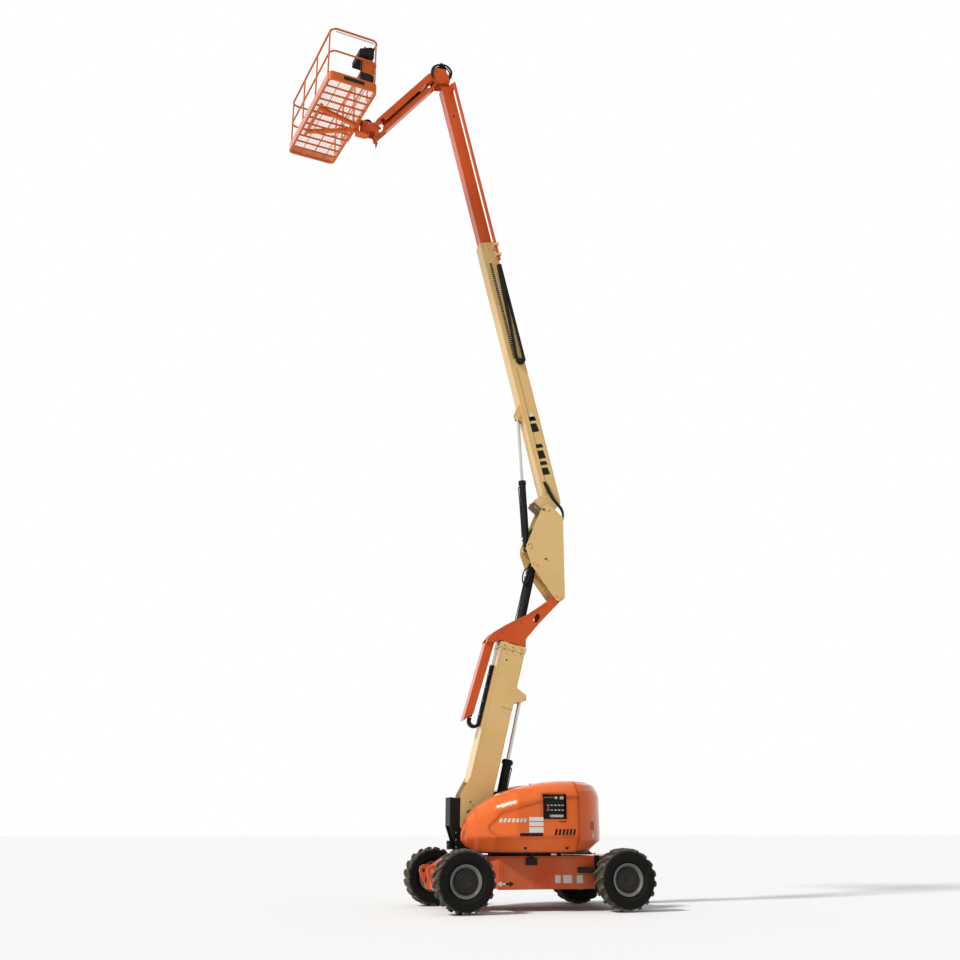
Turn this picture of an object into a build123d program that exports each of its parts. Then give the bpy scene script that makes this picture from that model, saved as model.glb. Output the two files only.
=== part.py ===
"""Articulating boom lift: four wheels, a slewing turntable, a telescopic tower, an upright,
a telescopic main boom, a parallel jib and a work platform, in the raised pose.

Row frame: +X forward (the platform's end), +Y left, +Z up, millimetres.
Origin: on the ground under the middle of the front axle.
"""
import os
from math import atan2, cos, degrees, hypot, pi, radians, sin, sqrt

from build123d import *

os.makedirs("parts", exist_ok=True)

# ------------------------------------------------------------------ driving dimensions
# wheels and axles
WHEELBASE = 2480
OVERALL_WIDTH = 2490
TYRE_R = 450
TYRE_W = 345
CARCASS_R = 420
RIM_R = 224
RIM_W = 236
LUGS_A_SIDE = 16
LUG_L = 62
LUG_SLANT = 24
HUB_R = 172
SPINDLE_R = 70
DRUM_R = 120
AXLE_BEAM = 130
KINGPIN_Y = 790
STEER_ARM = 180

# chassis frame
FRAME_BOTTOM = 310
FRAME_TOP = 780
FRAME_HALF_W = 720
NOSE_HALF_W = 470
NOSE_TOP_X = 200
NOSE_SLOPE_L = 260
NOSE_FRONT_Z = 610
FRAME_TAIL_X = -2790
FRAME_WALL = 14
NOSE_BOTTOM = 515

# turntable: everything on it lies within one circle about the slew axis
SLEW_X = -WHEELBASE / 2
SLEW_RING_R = 560
SLEW_RING_H = 36
DECK_Z = 822
DECK_H = 28
DECK_R = 1000
DECK_HALF_W = 904
TAIL_R = 1182
BODY_HALF_W = 1105
SLOT_HALF_W = 330
SEAM_X = -1790
HOOD_CREASE_Z = 1050
HOOD_BOTTOM_Z = 838
HOOD_TOP_Z = 1868
HOOD_SKIN = 14
HOOD_RECESS = 7
HINGE_R = 8
HINGE_PIN_R = 4.5
MAST_HALF_W = 155
MAST_PLATE = 22

# tower: pivot, lean and box section (u is measured from the pivot towards the tower's underside)
TOWER_PIVOT = (-320, 1420)
TOWER_ANGLE = 103.7
TOWER_LENGTH = 2723
TOWER_TUBE_START = 430
TOWER_HALF_W = 180
TOWER_TOP_U = -125
TOWER_BOTTOM_U = 295
TOWER_WALL = 8
TOWER_FLY_HALF_W = 150
TOWER_FLY_GAP = 32
TOWER_FLY_START = 480
GOOSENECK_HALF_W = 165
TOWER_CYL_FOOT = (-715, 1020)
TOWER_CYL_EYE = (-1195, 3184)

# upright between tower and main boom
UPRIGHT_LOW_PIN = (-1843, 4886)
UPRIGHT_HALF_W = 205
UPRIGHT_PLATE = 15
UPRIGHT_REAR_X = -1945
LEVEL_CYL_PIN = (-1439, 5430)
LEVEL_CYL_EYE = (-975, 3400)

# main boom
BOOM_PIVOT = (-1668, 6411)
BOOM_ANGLE = 76.6
BOOM_BASE_LENGTH = 5175
BOOM_BASE_START = 260
BOOM_HALF_W = 135
BOOM_LOW_U = 12
BOOM_HIGH_U = 297
BOOM_WALL = 7
FLY_HALF_W = 106
FLY_LOW_U = 42
FLY_HIGH_U = 257
FLY_WALL = 6
FLY_START = 4350
FLY_END = 8560
BOOM_CYL_FOOT = (-1345, 5725)
BOOM_CYL_EYE = (-1215, 8133)

# jib and knuckle
KNUCKLE_PIN = (205, 14900)
JIB_PIN = (360, 14875)
JIB_LINK_OFFSET = (35, 210)
JIB_LENGTH = 1830
JIB_ANGLE = -51.5
KNUCKLE_HALF_W = 127
KNUCKLE_PLATE = 15

# platform
ROTATOR_R = 90
ROTATOR_Z = (13485, 13700)
ROTATOR_BACK = 160
PLATFORM_YAW = 11.4
PLATFORM_L = 2440
PLATFORM_D = 910
PLATFORM_FLOOR_Z = 13610
PLATFORM_CENTRE_X = 2335
ARM_SPREAD = 430
RAIL_H = 1100
RAIL_R = 19

PIN_R = 32
PIN_PLAY = 0.5
ROTATOR_X = PLATFORM_CENTRE_X - (PLATFORM_D / 2 + ROTATOR_BACK) / cos(radians(PLATFORM_YAW))

TRACK_HALF = (OVERALL_WIDTH - TYRE_W) / 2


# ------------------------------------------------------------------ shape helpers
def box(x0, x1, y0, y1, z0, z1):
    return Pos((x0 + x1) / 2, (y0 + y1) / 2, (z0 + z1) / 2) * Box(x1 - x0, y1 - y0, z1 - z0)


def slab(outline, y0, y1, corner=0):
    """Plate with an (x, z) outline between two Y planes."""
    face = make_face(Polyline(*outline, close=True))
    if corner:
        face = fillet(face.vertices(), corner)
    return extrude(Plane.XZ.offset(-y1) * face, amount=y1 - y0)


def both_sides(outline, y_in, y_out, corner=0):
    """The same plate on the left and on the right."""
    left = slab(outline, y_in, y_out, corner)
    return left + mirror(left, Plane.XZ)


def rod_y(point, radius, y0, y1):
    """Round bar along Y at an (x, z) point."""
    return Pos(point[0], (y0 + y1) / 2, point[1]) * Rot(90, 0, 0) * Cylinder(radius, y1 - y0)


def rod_x(radius, s0, s1, y=0, u=0):
    """Round bar along X."""
    return Pos((s0 + s1) / 2, y, u) * Rot(0, 90, 0) * Cylinder(radius, s1 - s0)


def tube_x(s0, s1, half_w, u0, u1, wall):
    """Square tube along X, open at both ends."""
    outer = box(s0, s1, -half_w, half_w, u0, u1)
    return outer - box(s0 - 1, s1 + 1, -half_w + wall, half_w - wall, u0 + wall, u1 - wall)


def along(point, angle):
    """Frame at an (x, z) point whose X axis is raised by an angle from the row's +X."""
    return Pos(point[0], 0, point[1]) * Rot(0, -angle, 0)


def to_local(point, origin, angle):
    """(x, z) of the row as (s, u) in the frame that along() gives."""
    dx = point[0] - origin[0]
    dz = point[1] - origin[1]
    c = cos(radians(angle))
    s = sin(radians(angle))
    return (dx * c + dz * s, -dx * s + dz * c)


def mirrored(shape):
    return mirror(shape, Plane.XZ)


NODES = {}


def node(name, shape):
    NODES[name] = shape


# ------------------------------------------------------------------ chassis
TYRE_INNER_CORNER = TRACK_HALF - TYRE_W / 2


def frame_plan(inset):
    tail_cut = 120
    half = [
        (FRAME_TAIL_X + inset, FRAME_HALF_W - tail_cut),
        (FRAME_TAIL_X + tail_cut, FRAME_HALF_W - inset),
        (-TYRE_R - 170, FRAME_HALF_W - inset),
        (-TYRE_R + 10, NOSE_HALF_W - inset),
        (NOSE_TOP_X - inset, NOSE_HALF_W - inset),
    ]
    return half + [(x, -y) for x, y in reversed(half)]


def chassis_frame():
    plan = make_face(Polyline(*frame_plan(0), close=True))
    inner_plan = make_face(Polyline(*frame_plan(FRAME_WALL), close=True))
    tail = FRAME_TAIL_X - 1
    slope = NOSE_TOP_X - NOSE_SLOPE_L
    side = [
        (tail, FRAME_BOTTOM),
        (tail, FRAME_TOP),
        (slope, FRAME_TOP),
        (NOSE_TOP_X, NOSE_FRONT_Z),
        (NOSE_TOP_X, NOSE_BOTTOM),
        (-TYRE_R + 220, NOSE_BOTTOM),
        (-TYRE_R - 170, FRAME_BOTTOM),
    ]
    inner_side = [
        (tail, FRAME_BOTTOM - 2),
        (tail, FRAME_TOP - 22),
        (slope, FRAME_TOP - 22),
        (NOSE_TOP_X, NOSE_FRONT_Z - 22),
        (NOSE_TOP_X, FRAME_BOTTOM - 2),
    ]
    body = extrude(plan, amount=2 * FRAME_TOP) & slab(side, -FRAME_HALF_W - 1, FRAME_HALF_W + 1)
    body -= extrude(inner_plan, amount=2 * FRAME_TOP) & slab(inner_side, -FRAME_HALF_W, FRAME_HALF_W)
    inner_w = FRAME_HALF_W - FRAME_WALL
    for x in (SLEW_X - SLEW_RING_R, SLEW_X + SLEW_RING_R):
        body += box(x - 6, x + 6, -inner_w, inner_w, FRAME_BOTTOM + 30, FRAME_TOP - 22)
    seat_w = NOSE_HALF_W - FRAME_WALL
    body += box(-95, 95, -seat_w, seat_w, NOSE_BOTTOM, NOSE_BOTTOM + 40)
    beam = AXLE_BEAM / 2
    body -= box(-WHEELBASE - beam, -WHEELBASE + beam, -900, 900, TYRE_R - beam, TYRE_R + beam)
    body += nose_lugs()
    body += tail_lugs()
    return body


LUG_HOLE_R = 32
LUG_Y = 265
LUG_T = 35


def nose_lugs():
    """Front bulkhead that hangs in front of the axle, with two lifting and tie-down lugs."""
    lug = [
        (NOSE_TOP_X + 16, 300),
        (NOSE_TOP_X + 60, 290),
        (NOSE_TOP_X + 150, 470),
        (NOSE_TOP_X + 180, 560),
        (NOSE_TOP_X + 165, 620),
        (NOSE_TOP_X + 110, 650),
        (NOSE_TOP_X + 16, 650),
    ]
    lugs = both_sides(lug, LUG_Y, LUG_Y + LUG_T)
    reach = LUG_Y + LUG_T + 30
    lugs -= rod_y((NOSE_TOP_X + 110, 565), LUG_HOLE_R, -reach, reach)
    lugs -= box(NOSE_TOP_X + 58, NOSE_TOP_X + 86, -reach, reach, 385, 455)
    return lugs + box(NOSE_TOP_X, NOSE_TOP_X + 16, -reach, reach, 290, NOSE_FRONT_Z + 20)


def tail_lugs():
    lug = [
        (FRAME_TAIL_X, 380),
        (FRAME_TAIL_X - 90, 420),
        (FRAME_TAIL_X - 120, 500),
        (FRAME_TAIL_X - 90, 580),
        (FRAME_TAIL_X, 620),
    ]
    lugs = both_sides(lug, LUG_Y, LUG_Y + LUG_T)
    reach = LUG_Y + LUG_T + 30
    return lugs - rod_y((FRAME_TAIL_X - 65, 500), LUG_HOLE_R, -reach, reach)


BEAM_BACK = 122
FORK_H = 30
KNUCKLE_GAP = 1
FORK_HALF = 50
KNUCKLE_H = 96
STEER_Z = TYRE_R - KNUCKLE_H / 2 + 8
TIE_ROD_X = -STEER_ARM - 5
TIE_ROD_Z = TYRE_R - 62
TIE_ROD_R = 18


def front_axle():
    beam = AXLE_BEAM / 2
    beam_end = KINGPIN_Y - BEAM_BACK
    axle = box(-75, 75, -beam_end, beam_end, TYRE_R - beam, TYRE_R + beam)
    gap = KNUCKLE_H / 2 + KNUCKLE_GAP
    for side in (-1, 1):
        y0, y1 = sorted((side * (beam_end - 30), side * KINGPIN_Y))
        for z0, z1 in ((TYRE_R + gap, TYRE_R + gap + FORK_H), (TYRE_R - gap - FORK_H, TYRE_R - gap)):
            axle += box(-FORK_HALF, FORK_HALF, y0, y1, z0, z1)
            axle += Pos(0, side * KINGPIN_Y, (z0 + z1) / 2) * Cylinder(FORK_HALF, z1 - z0)
        axle -= Pos(0, side * KINGPIN_Y, TYRE_R) * Cylinder(PIN_R + PIN_PLAY, 400)
    barrel = rod_y((TIE_ROD_X, TIE_ROD_Z), 42, -230, 230)
    barrel += both_sides([(-74, 400), (-74, 440), (TIE_ROD_X - 30, 415), (TIE_ROD_X - 30, 370)], 150, 170)
    axle += barrel
    axle -= rod_y((TIE_ROD_X, TIE_ROD_Z), TIE_ROD_R + PIN_PLAY, -800, 800)
    return axle


def spindle(side, y0):
    """Stub that carries a wheel, with its drive housing, from y0 out into the hub."""
    hub_mouth = TRACK_HALF - 40
    end = TRACK_HALF + 20
    lo, hi = sorted((side * y0, side * end))
    stub = rod_y((0, TYRE_R), SPINDLE_R, lo, hi)
    lo, hi = sorted((side * (KINGPIN_Y + 92), side * (hub_mouth - 60)))
    return stub + rod_y((0, TYRE_R), DRUM_R, lo, hi)


def steer_knuckle(side):
    block = Pos(0, side * KINGPIN_Y, TYRE_R) * Box(84, 84, KNUCKLE_H)
    block = fillet(block.edges().filter_by(Axis.Z), 20)
    pin = Pos(0, side * KINGPIN_Y, TYRE_R) * Cylinder(PIN_R, KNUCKLE_H + 2 * FORK_H + 20)
    neck_y = sorted((side * KINGPIN_Y, side * (KINGPIN_Y + 110)))
    neck = rod_y((0, TYRE_R), KNUCKLE_H / 2 - 2, *neck_y)
    arm_face = [(-30, -30), (30, -30), (-10, -STEER_ARM), (-50, -STEER_ARM)]
    arm_points = [(v, side * (KINGPIN_Y + w)) for w, v in arm_face]
    arm = Pos(0, 0, STEER_Z) * extrude(make_face(Polyline(*arm_points, close=True)), amount=22)
    eye = Pos(-STEER_ARM, side * (KINGPIN_Y - 30), STEER_Z + 11) * Cylinder(30, 22)
    return block + pin + neck + arm + eye + spindle(side, KINGPIN_Y + 100)


def tie_rod():
    reach = KINGPIN_Y - 30
    rod = rod_y((TIE_ROD_X, TIE_ROD_Z), TIE_ROD_R, -reach, reach)
    for side in (-1, 1):
        rod += Pos(TIE_ROD_X, side * reach, TIE_ROD_Z) * Cylinder(28, 26)
    return rod


def rear_axle():
    beam = AXLE_BEAM / 2
    inner = TYRE_INNER_CORNER - 20
    axle = box(-beam, beam, -inner, inner, TYRE_R - beam, TYRE_R + beam)
    axle += spindle(1, inner - 1) + spindle(-1, inner - 1)
    return Pos(-WHEELBASE, 0, 0) * axle


def facet_ring(profile, sides):
    """Closed ring about Z with flat facets; each (r, z) gives r at the middle of a facet."""
    angles = [pi / sides * (2 * i + 1) for i in range(sides)]
    k = 1 / cos(pi / sides)
    rings = [[Vector(r * k * cos(a), r * k * sin(a), z) for a in angles] for r, z in profile]
    faces = []
    for low, high in zip(rings, rings[1:] + rings[:1]):
        for i in range(sides):
            j = (i + 1) % sides
            faces.append(Face(Wire.make_polygon([low[i], low[j], high[j], high[i]])))
    return Solid(Shell(faces))


def tyre():
    """Tyre about the Z axis, outer side up: faceted carcass and two rows of bar lugs on its flats."""
    half = TYRE_W / 2
    profile = [
        (RIM_R, RIM_W / 2 - 14),
        (RIM_R + 60, half - 5),
        (CARCASS_R - 32, half - 3),
        (CARCASS_R, half - 30),
    ]
    outline = profile + [(r, -w) for r, w in reversed(profile)]
    carcass = facet_ring(outline, 2 * LUGS_A_SIDE)
    lug_w = half - 14
    reach = lug_w / 2 * sin(radians(LUG_SLANT)) + LUG_L / 2
    top = sqrt(TYRE_R**2 - reach**2)
    lug = Box(top - CARCASS_R + 22, LUG_L, lug_w)
    lugs = []
    for i in range(LUGS_A_SIDE):
        for row in (-1, 1):
            turn = 360 / LUGS_A_SIDE * (i + 0.25 * row + 0.25)
            place = Rot(0, 0, turn) * Pos((top + CARCASS_R - 22) / 2, 0, row * (half - lug_w / 2 - 5))
            lugs.append(place * Rot(row * LUG_SLANT, 0, 0) * lug)
    return carcass.fuse(*lugs)


def rim():
    """Rim, disc and drive hub about the Z axis, outer side up, with a blind bore for the spindle."""
    edge = RIM_W / 2
    profile = [
        (RIM_R - 16, -edge - 12),
        (RIM_R + 11, -edge - 12),
        (RIM_R + 11, -edge),
        (RIM_R, -edge),
        (RIM_R, edge),
        (RIM_R + 11, edge),
        (RIM_R + 11, edge + 12),
        (RIM_R - 14, edge + 12),
        (RIM_R - 26, edge - 64),
        (HUB_R, edge - 64),
        (HUB_R, edge - 4),
        (HUB_R - 22, edge + 14),
        (0, edge + 14),
        (0, 30),
        (SPINDLE_R + PIN_PLAY, 30),
        (SPINDLE_R + PIN_PLAY, -60),
        (SPINDLE_R + 28, -60),
        (HUB_R - 34, 20),
        (RIM_R - 16, 20),
    ]
    return revolve(Plane.XZ * make_face(Polyline(*profile, close=True)), Axis.Z)


# ------------------------------------------------------------------ turntable
def turntable_frame():
    """Slewing deck, the mast plates that carry the tower's foot, and the cylinder's foot lugs."""
    deck = Pos(SLEW_X, 0, DECK_Z + DECK_H / 2) * Cylinder(DECK_R, DECK_H)
    deck &= box(SLEW_X - DECK_R, SLEW_X + DECK_R, -DECK_HALF_W, DECK_HALF_W, DECK_Z, DECK_Z + DECK_H)
    deck_top = DECK_Z + DECK_H
    boss_low = FRAME_TOP + 8
    deck += Pos(SLEW_X, 0, (boss_low + DECK_Z) / 2) * Cylinder(420, DECK_Z - boss_low)
    px, pz = TOWER_PIVOT
    front = px + 320
    mast = [
        (front, pz + 220),
        (front, pz - 205),
        (front - 130, DECK_Z),
        (px - 300, DECK_Z),
        (px - 280, pz - 330),
        (px - 130, pz + 130),
        (px - 20, pz + 190),
    ]
    deck += both_sides(mast, MAST_HALF_W - MAST_PLATE, MAST_HALF_W)
    deck += box(front - 15, front, -MAST_HALF_W, MAST_HALF_W, pz - 205, pz + 220)
    deck += box(front - 320, front - 135, -MAST_HALF_W, MAST_HALF_W, DECK_Z, deck_top)
    deck += rod_y(TOWER_PIVOT, PIN_R + 8, -TOWER_HALF_W - 12, TOWER_HALF_W + 12)
    fx, fz = TOWER_CYL_FOOT
    foot = [(fx - 68, deck_top), (fx - 38, fz + 42), (fx + 38, fz + 42), (fx + 120, deck_top)]
    deck += both_sides(foot, 55, 75)
    deck += rod_y(TOWER_CYL_FOOT, PIN_R, -75, 75)
    wall_low = deck_top
    for side in (-1, 1):
        y0, y1 = sorted((side * (SLOT_HALF_W - 14), side * (SLOT_HALF_W - 6)))
        deck += box(SEAM_X + 20, SLEW_X + 560, y0, y1, wall_low, HOOD_TOP_Z - 280)
        y0, y1 = sorted((side * (SLOT_HALF_W - 14), side * (SLOT_HALF_W - 4)))
        for x in HINGE_X:
            deck += box(x - 8, x + 8, y0, y1, HOOD_TOP_Z - 300, HINGE_Z + HINGE_R - 3)
            deck += rod_x(HINGE_PIN_R, x - 40, x + 40, side * HINGE_Y, HINGE_Z)
    return deck


HINGE_X = (SEAM_X + 90, SEAM_X + 310)
HINGE_Y = SLOT_HALF_W - 8
HINGE_Z = HOOD_TOP_Z - 2


def hood_hinges():
    """Hinge tubes on the hood's inner edge, one each side of every bracket."""
    tubes = []
    for x in HINGE_X:
        for x0, x1 in ((x - 40, x - 14), (x + 14, x + 40)):
            leaf = box(x0, x1, HINGE_Y, SLOT_HALF_W + 30, HINGE_Z - 26, HINGE_Z + 6)
            tube = leaf + rod_x(HINGE_R, x0, x1, HINGE_Y, HINGE_Z)
            tubes.append(tube - rod_x(HINGE_PIN_R + PIN_PLAY, x0 - 1, x1 + 1, HINGE_Y, HINGE_Z))
    return tubes


def slew_bearing():
    ring = Cylinder(SLEW_RING_R, SLEW_RING_H) - Cylinder(430, SLEW_RING_H + 2)
    return Pos(SLEW_X, 0, FRAME_TOP + SLEW_RING_H / 2) * ring


def counterweight():
    """Cast tail: a surface of revolution about the slew axis, cut for the booms' slot."""
    top = HOOD_TOP_Z - 4
    deck_top = DECK_Z + DECK_H
    inner = TAIL_R - 205
    profile = [
        (inner, deck_top),
        (TAIL_R - 190, deck_top),
        (TAIL_R, 1000),
        (TAIL_R, HOOD_TOP_Z - 228),
        (TAIL_R - 24, 1722),
        (TAIL_R - 85, 1815),
        (TAIL_R - 180, top),
        (400, top),
        (400, top - 20),
        (inner, top - 20),
    ]
    ring = revolve(Plane.XZ * make_face(Polyline(*profile, close=True)), Axis.Z)
    ring = Pos(SLEW_X, 0, 0) * ring
    tail = ring & box(SLEW_X - 1300, SEAM_X, -BODY_HALF_W, BODY_HALF_W, 0, 3000)
    tail -= box(-4000, 0, -SLOT_HALF_W, SLOT_HALF_W, deck_top + 35, 3000)
    wall = box(SLEW_X - inner - 20, SEAM_X, SLOT_HALF_W, SLOT_HALF_W + 14, deck_top, top)
    wall &= Pos(SLEW_X, 0, 1500) * Cylinder(inner + 30, 3000)
    return tail + wall + mirrored(wall)


# hood stations: x, top z, bottom z, fraction of the shoulder's drop
HOOD_STATIONS = (
    (-125, 1110, 1005, 0.5),
    (-175, 1290, 925, 0.48),
    (-300, 1465, 850, 0.42),
    (-520, 1612, 838, 0.35),
    (-820, 1737, 838, 0.31),
    (-1240, 1828, 838, 0.285),
    (-1530, 1858, 838, 0.28),
    (SEAM_X + 5, HOOD_TOP_Z, 838, 0.28),
)
# side panel that lies a step deeper, under the long crease: x and z
RECESS = [(-425, 1202), (-600, 1402), (-844, 1477), (-1078, 1537), (-1240, 1580), (-1560, 1630),
          (SEAM_X, 1640), (SEAM_X, 1058), (-545, 1058), (-455, 1112)]


def plan_half_width(x, radius, limit):
    return min(limit, sqrt(max(radius**2 - (x - SLEW_X) ** 2, 0)))


def hood_section(x, top, bottom, drop, inset, open_by):
    """Closed section of the left hood in the plane at x."""
    y_in = SLOT_HALF_W - open_by
    y_out = plan_half_width(x, TAIL_R, BODY_HALF_W) - inset
    y_low = plan_half_width(x, TAIL_R - 145, BODY_HALF_W - 125) - inset
    y_low = max(y_low, SLOT_HALF_W + 0.6 * (y_out - SLOT_HALF_W))
    z_top = top - inset
    crease = min(HOOD_CREASE_Z, (top + bottom) / 2)
    z_side = z_top - drop * (z_top - crease)
    z_low = bottom - 3 * open_by
    y_low -= (y_out - y_low) * (bottom - z_low) / (crease - bottom)
    crest = SLOT_HALF_W + 0.4 * (y_out - SLOT_HALF_W)
    mid = (crest + 0.74 * (y_out - crest), z_side + 0.7 * (z_top - z_side))
    p = [Vector(x, y, z) for y, z in ((y_in, z_low), (y_in, z_top), (crest, z_top), mid,
                                      (y_out, z_side), (y_out, crease), (y_low, z_low))]
    edges = [
        Line(p[0], p[1]),
        Line(p[1], p[2]),
        ThreePointArc(p[2], p[3], p[4]),
        Line(p[4], p[5]),
        Line(p[5], p[6]),
        Line(p[6], p[0]),
    ]
    return Face(Wire(edges))


def hood():
    """Left hood: a lofted skin, open below, behind and towards the slot."""
    outer = loft([hood_section(*s, 0, 0) for s in HOOD_STATIONS], ruled=True)
    first, *rest = HOOD_STATIONS
    inner_stations = [(first[0] - 22, first[1] + 40, first[2] + 10, first[3])]
    inner_stations += rest[:-1]
    last = rest[-1]
    inner_stations.append((last[0] - 10, last[1], last[2], last[3]))
    inner = loft([hood_section(*s, HOOD_SKIN, 10) for s in inner_stations], ruled=True)
    sunk = loft([hood_section(*s, HOOD_RECESS, 0) for s in HOOD_STATIONS], ruled=True)
    panel = slab(RECESS, 600, TAIL_R) - sunk
    skin = outer - inner - panel
    return skin.fuse(*hood_hinges())


def engine_block():
    return box(SLEW_X - 420, SLEW_X + 280, -900, -480, DECK_Z + DECK_H, DECK_Z + DECK_H + 520)


# window of the ground control station in the left hood: x and z limits
CONTROL_X = (-1576, -1205)
CONTROL_Z = (1309, 1666)


def ground_controls():
    x0, x1 = CONTROL_X
    z0, z1 = CONTROL_Z
    panel = box(x0 + 8, x1 - 8, 940, 1030, z0 + 8, z1 - 8)
    return panel + box(x0 + 90, x1 - 90, 880, 925, DECK_Z + DECK_H, z1 - 60) + box(
        x0 + 90, x1 - 90, 924, 941, z0 + 60, z1 - 60)


# ------------------------------------------------------------------ hydraulic cylinders
def cylinder_pair(foot, eye, barrel_r, rod_r, barrel_len, rod_inside, gland=9, lug_half=44):
    """Barrel and rod on the line from foot to eye; the foot's bore takes a pin with play."""
    length = hypot(eye[0] - foot[0], eye[1] - foot[1])
    angle = degrees(atan2(eye[1] - foot[1], eye[0] - foot[0]))
    place = along(foot, angle)
    bore = barrel_r - 13
    barrel = rod_x(barrel_r, barrel_r - 12, barrel_len)
    barrel += rod_x(barrel_r + gland, barrel_len - 70, barrel_len - 15)
    barrel += rod_x(barrel_r, barrel_len - 16, barrel_len)
    barrel -= rod_x(bore, 90, barrel_len - 60)
    barrel -= rod_x(rod_r + PIN_PLAY, 90, barrel_len + 10)
    barrel += rod_y((0, 0), barrel_r - 8, -lug_half, lug_half)
    barrel -= rod_y((0, 0), PIN_R + PIN_PLAY, -lug_half - 1, lug_half + 1)
    rod = rod_x(rod_r, rod_inside, length - 20)
    rod += rod_x(bore - 2, rod_inside, rod_inside + 50)
    rod += rod_y((length, 0), 1.75 * rod_r, -lug_half, lug_half)
    return place * barrel, place * rod


# ------------------------------------------------------------------ tower
def tower_base():
    place = along(TOWER_PIVOT, TOWER_ANGLE)
    tube = tube_x(TOWER_TUBE_START, TOWER_LENGTH, TOWER_HALF_W, TOWER_TOP_U, TOWER_BOTTOM_U, TOWER_WALL)
    cheek = [
        (TOWER_TUBE_START + 90, TOWER_TOP_U),
        (216, TOWER_TOP_U - 87),
        (-250, -105),
        (-300, -60),
        (-258, 166),
        (60, TOWER_BOTTOM_U),
        (TOWER_TUBE_START + 90, TOWER_BOTTOM_U),
    ]
    tube += both_sides(cheek, TOWER_HALF_W - 15, TOWER_HALF_W)
    s, u = to_local(TOWER_CYL_EYE, TOWER_PIVOT, TOWER_ANGLE)
    bracket = [
        (s + 130, TOWER_BOTTOM_U - 215),
        (s + 130, TOWER_BOTTOM_U),
        (s + 60, u + 40),
        (s - 25, u + 55),
        (s - 115, TOWER_BOTTOM_U),
        (s - 225, TOWER_BOTTOM_U),
        (s - 225, TOWER_BOTTOM_U - 215),
    ]
    tube += both_sides(bracket, TOWER_HALF_W, TOWER_HALF_W + 10)
    ear = bracket[1:5]
    tube += both_sides(ear, 60, 80)
    tube += both_sides(ear, TOWER_HALF_W - 15, TOWER_HALF_W)
    pin = rod_y((s, u), PIN_R, 60, TOWER_HALF_W + 18)
    tube += pin + mirrored(pin)
    for pad in tower_pads():
        tube += pad
    lip = TOWER_LENGTH - 95
    collar = box(lip, TOWER_LENGTH, -TOWER_HALF_W - 8, TOWER_HALF_W + 8, TOWER_TOP_U - 12, TOWER_BOTTOM_U + 12)
    hole = TOWER_HALF_W - 1
    tube += collar - box(lip - 1, TOWER_LENGTH + 1, -hole, hole, TOWER_TOP_U + 1, TOWER_BOTTOM_U - 1)
    tube -= rod_y((0, 0), PIN_R + 8 + PIN_PLAY, -TOWER_HALF_W - 2, TOWER_HALF_W + 2)
    return place * tube


def tower_pads():
    """Wear pads bolted inside the mouth of the tower's outer tube."""
    tip = TOWER_LENGTH + 14
    tail = TOWER_LENGTH - 68
    y0 = TOWER_FLY_HALF_W + 1
    y1 = TOWER_HALF_W - TOWER_WALL + 1
    low = (TOWER_TOP_U + TOWER_WALL - 1, TOWER_TOP_U + TOWER_FLY_GAP - 1)
    high = (TOWER_BOTTOM_U - TOWER_FLY_GAP + 1, TOWER_BOTTOM_U - TOWER_WALL + 1)
    pads = []
    for side in (-1, 1):
        for u in (TOWER_TOP_U + 75, TOWER_BOTTOM_U - 75):
            pads.append(box(tail, tip, *sorted((side * y0, side * y1)), u - 42, u + 42))
        for u0, u1 in (low, high):
            pads.append(box(tail, tip, side * 70 - 42, side * 70 + 42, u0, u1))
    return pads


def gooseneck_outline():
    """Side outline of the head that carries the upright's lower pin."""
    x, z = UPRIGHT_LOW_PIN
    return [
        (-741, 4085),
        (-590, 4075),
        (-610, 4135),
        (-700, 4236),
        (-882, 4350),
        (-1107, 4474),
        (-1292, 4562),
        (-1636, 4798),
        (x + 83, z + 36),
        (x + 25, z + 76),
        (x - 40, z + 68),
        (x - 80, z + 10),
        (x - 70, z - 45),
        (x - 25, z - 78),
        (-1524, 4454),
        (-1262, 4150),
        (-1256, 4016),
        (-824, 4122),
    ]


# slot in the head for the levelling cylinder, and the oblong hole in the head's cheeks
MOUTH_X = (-1500, -860)
MOUTH_Z = (4250, 4760)
MOUTH_HALF_W = 105
PORT_AT = (-1455, 4509)
PORT_ANGLE = 118
NECK_GROOVE = [(-800, 4327), (-577, 4037), (-500, 4037), (-500, 4500), (-800, 4500)]
NECK_GROOVE_HALF_W = 80


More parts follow.
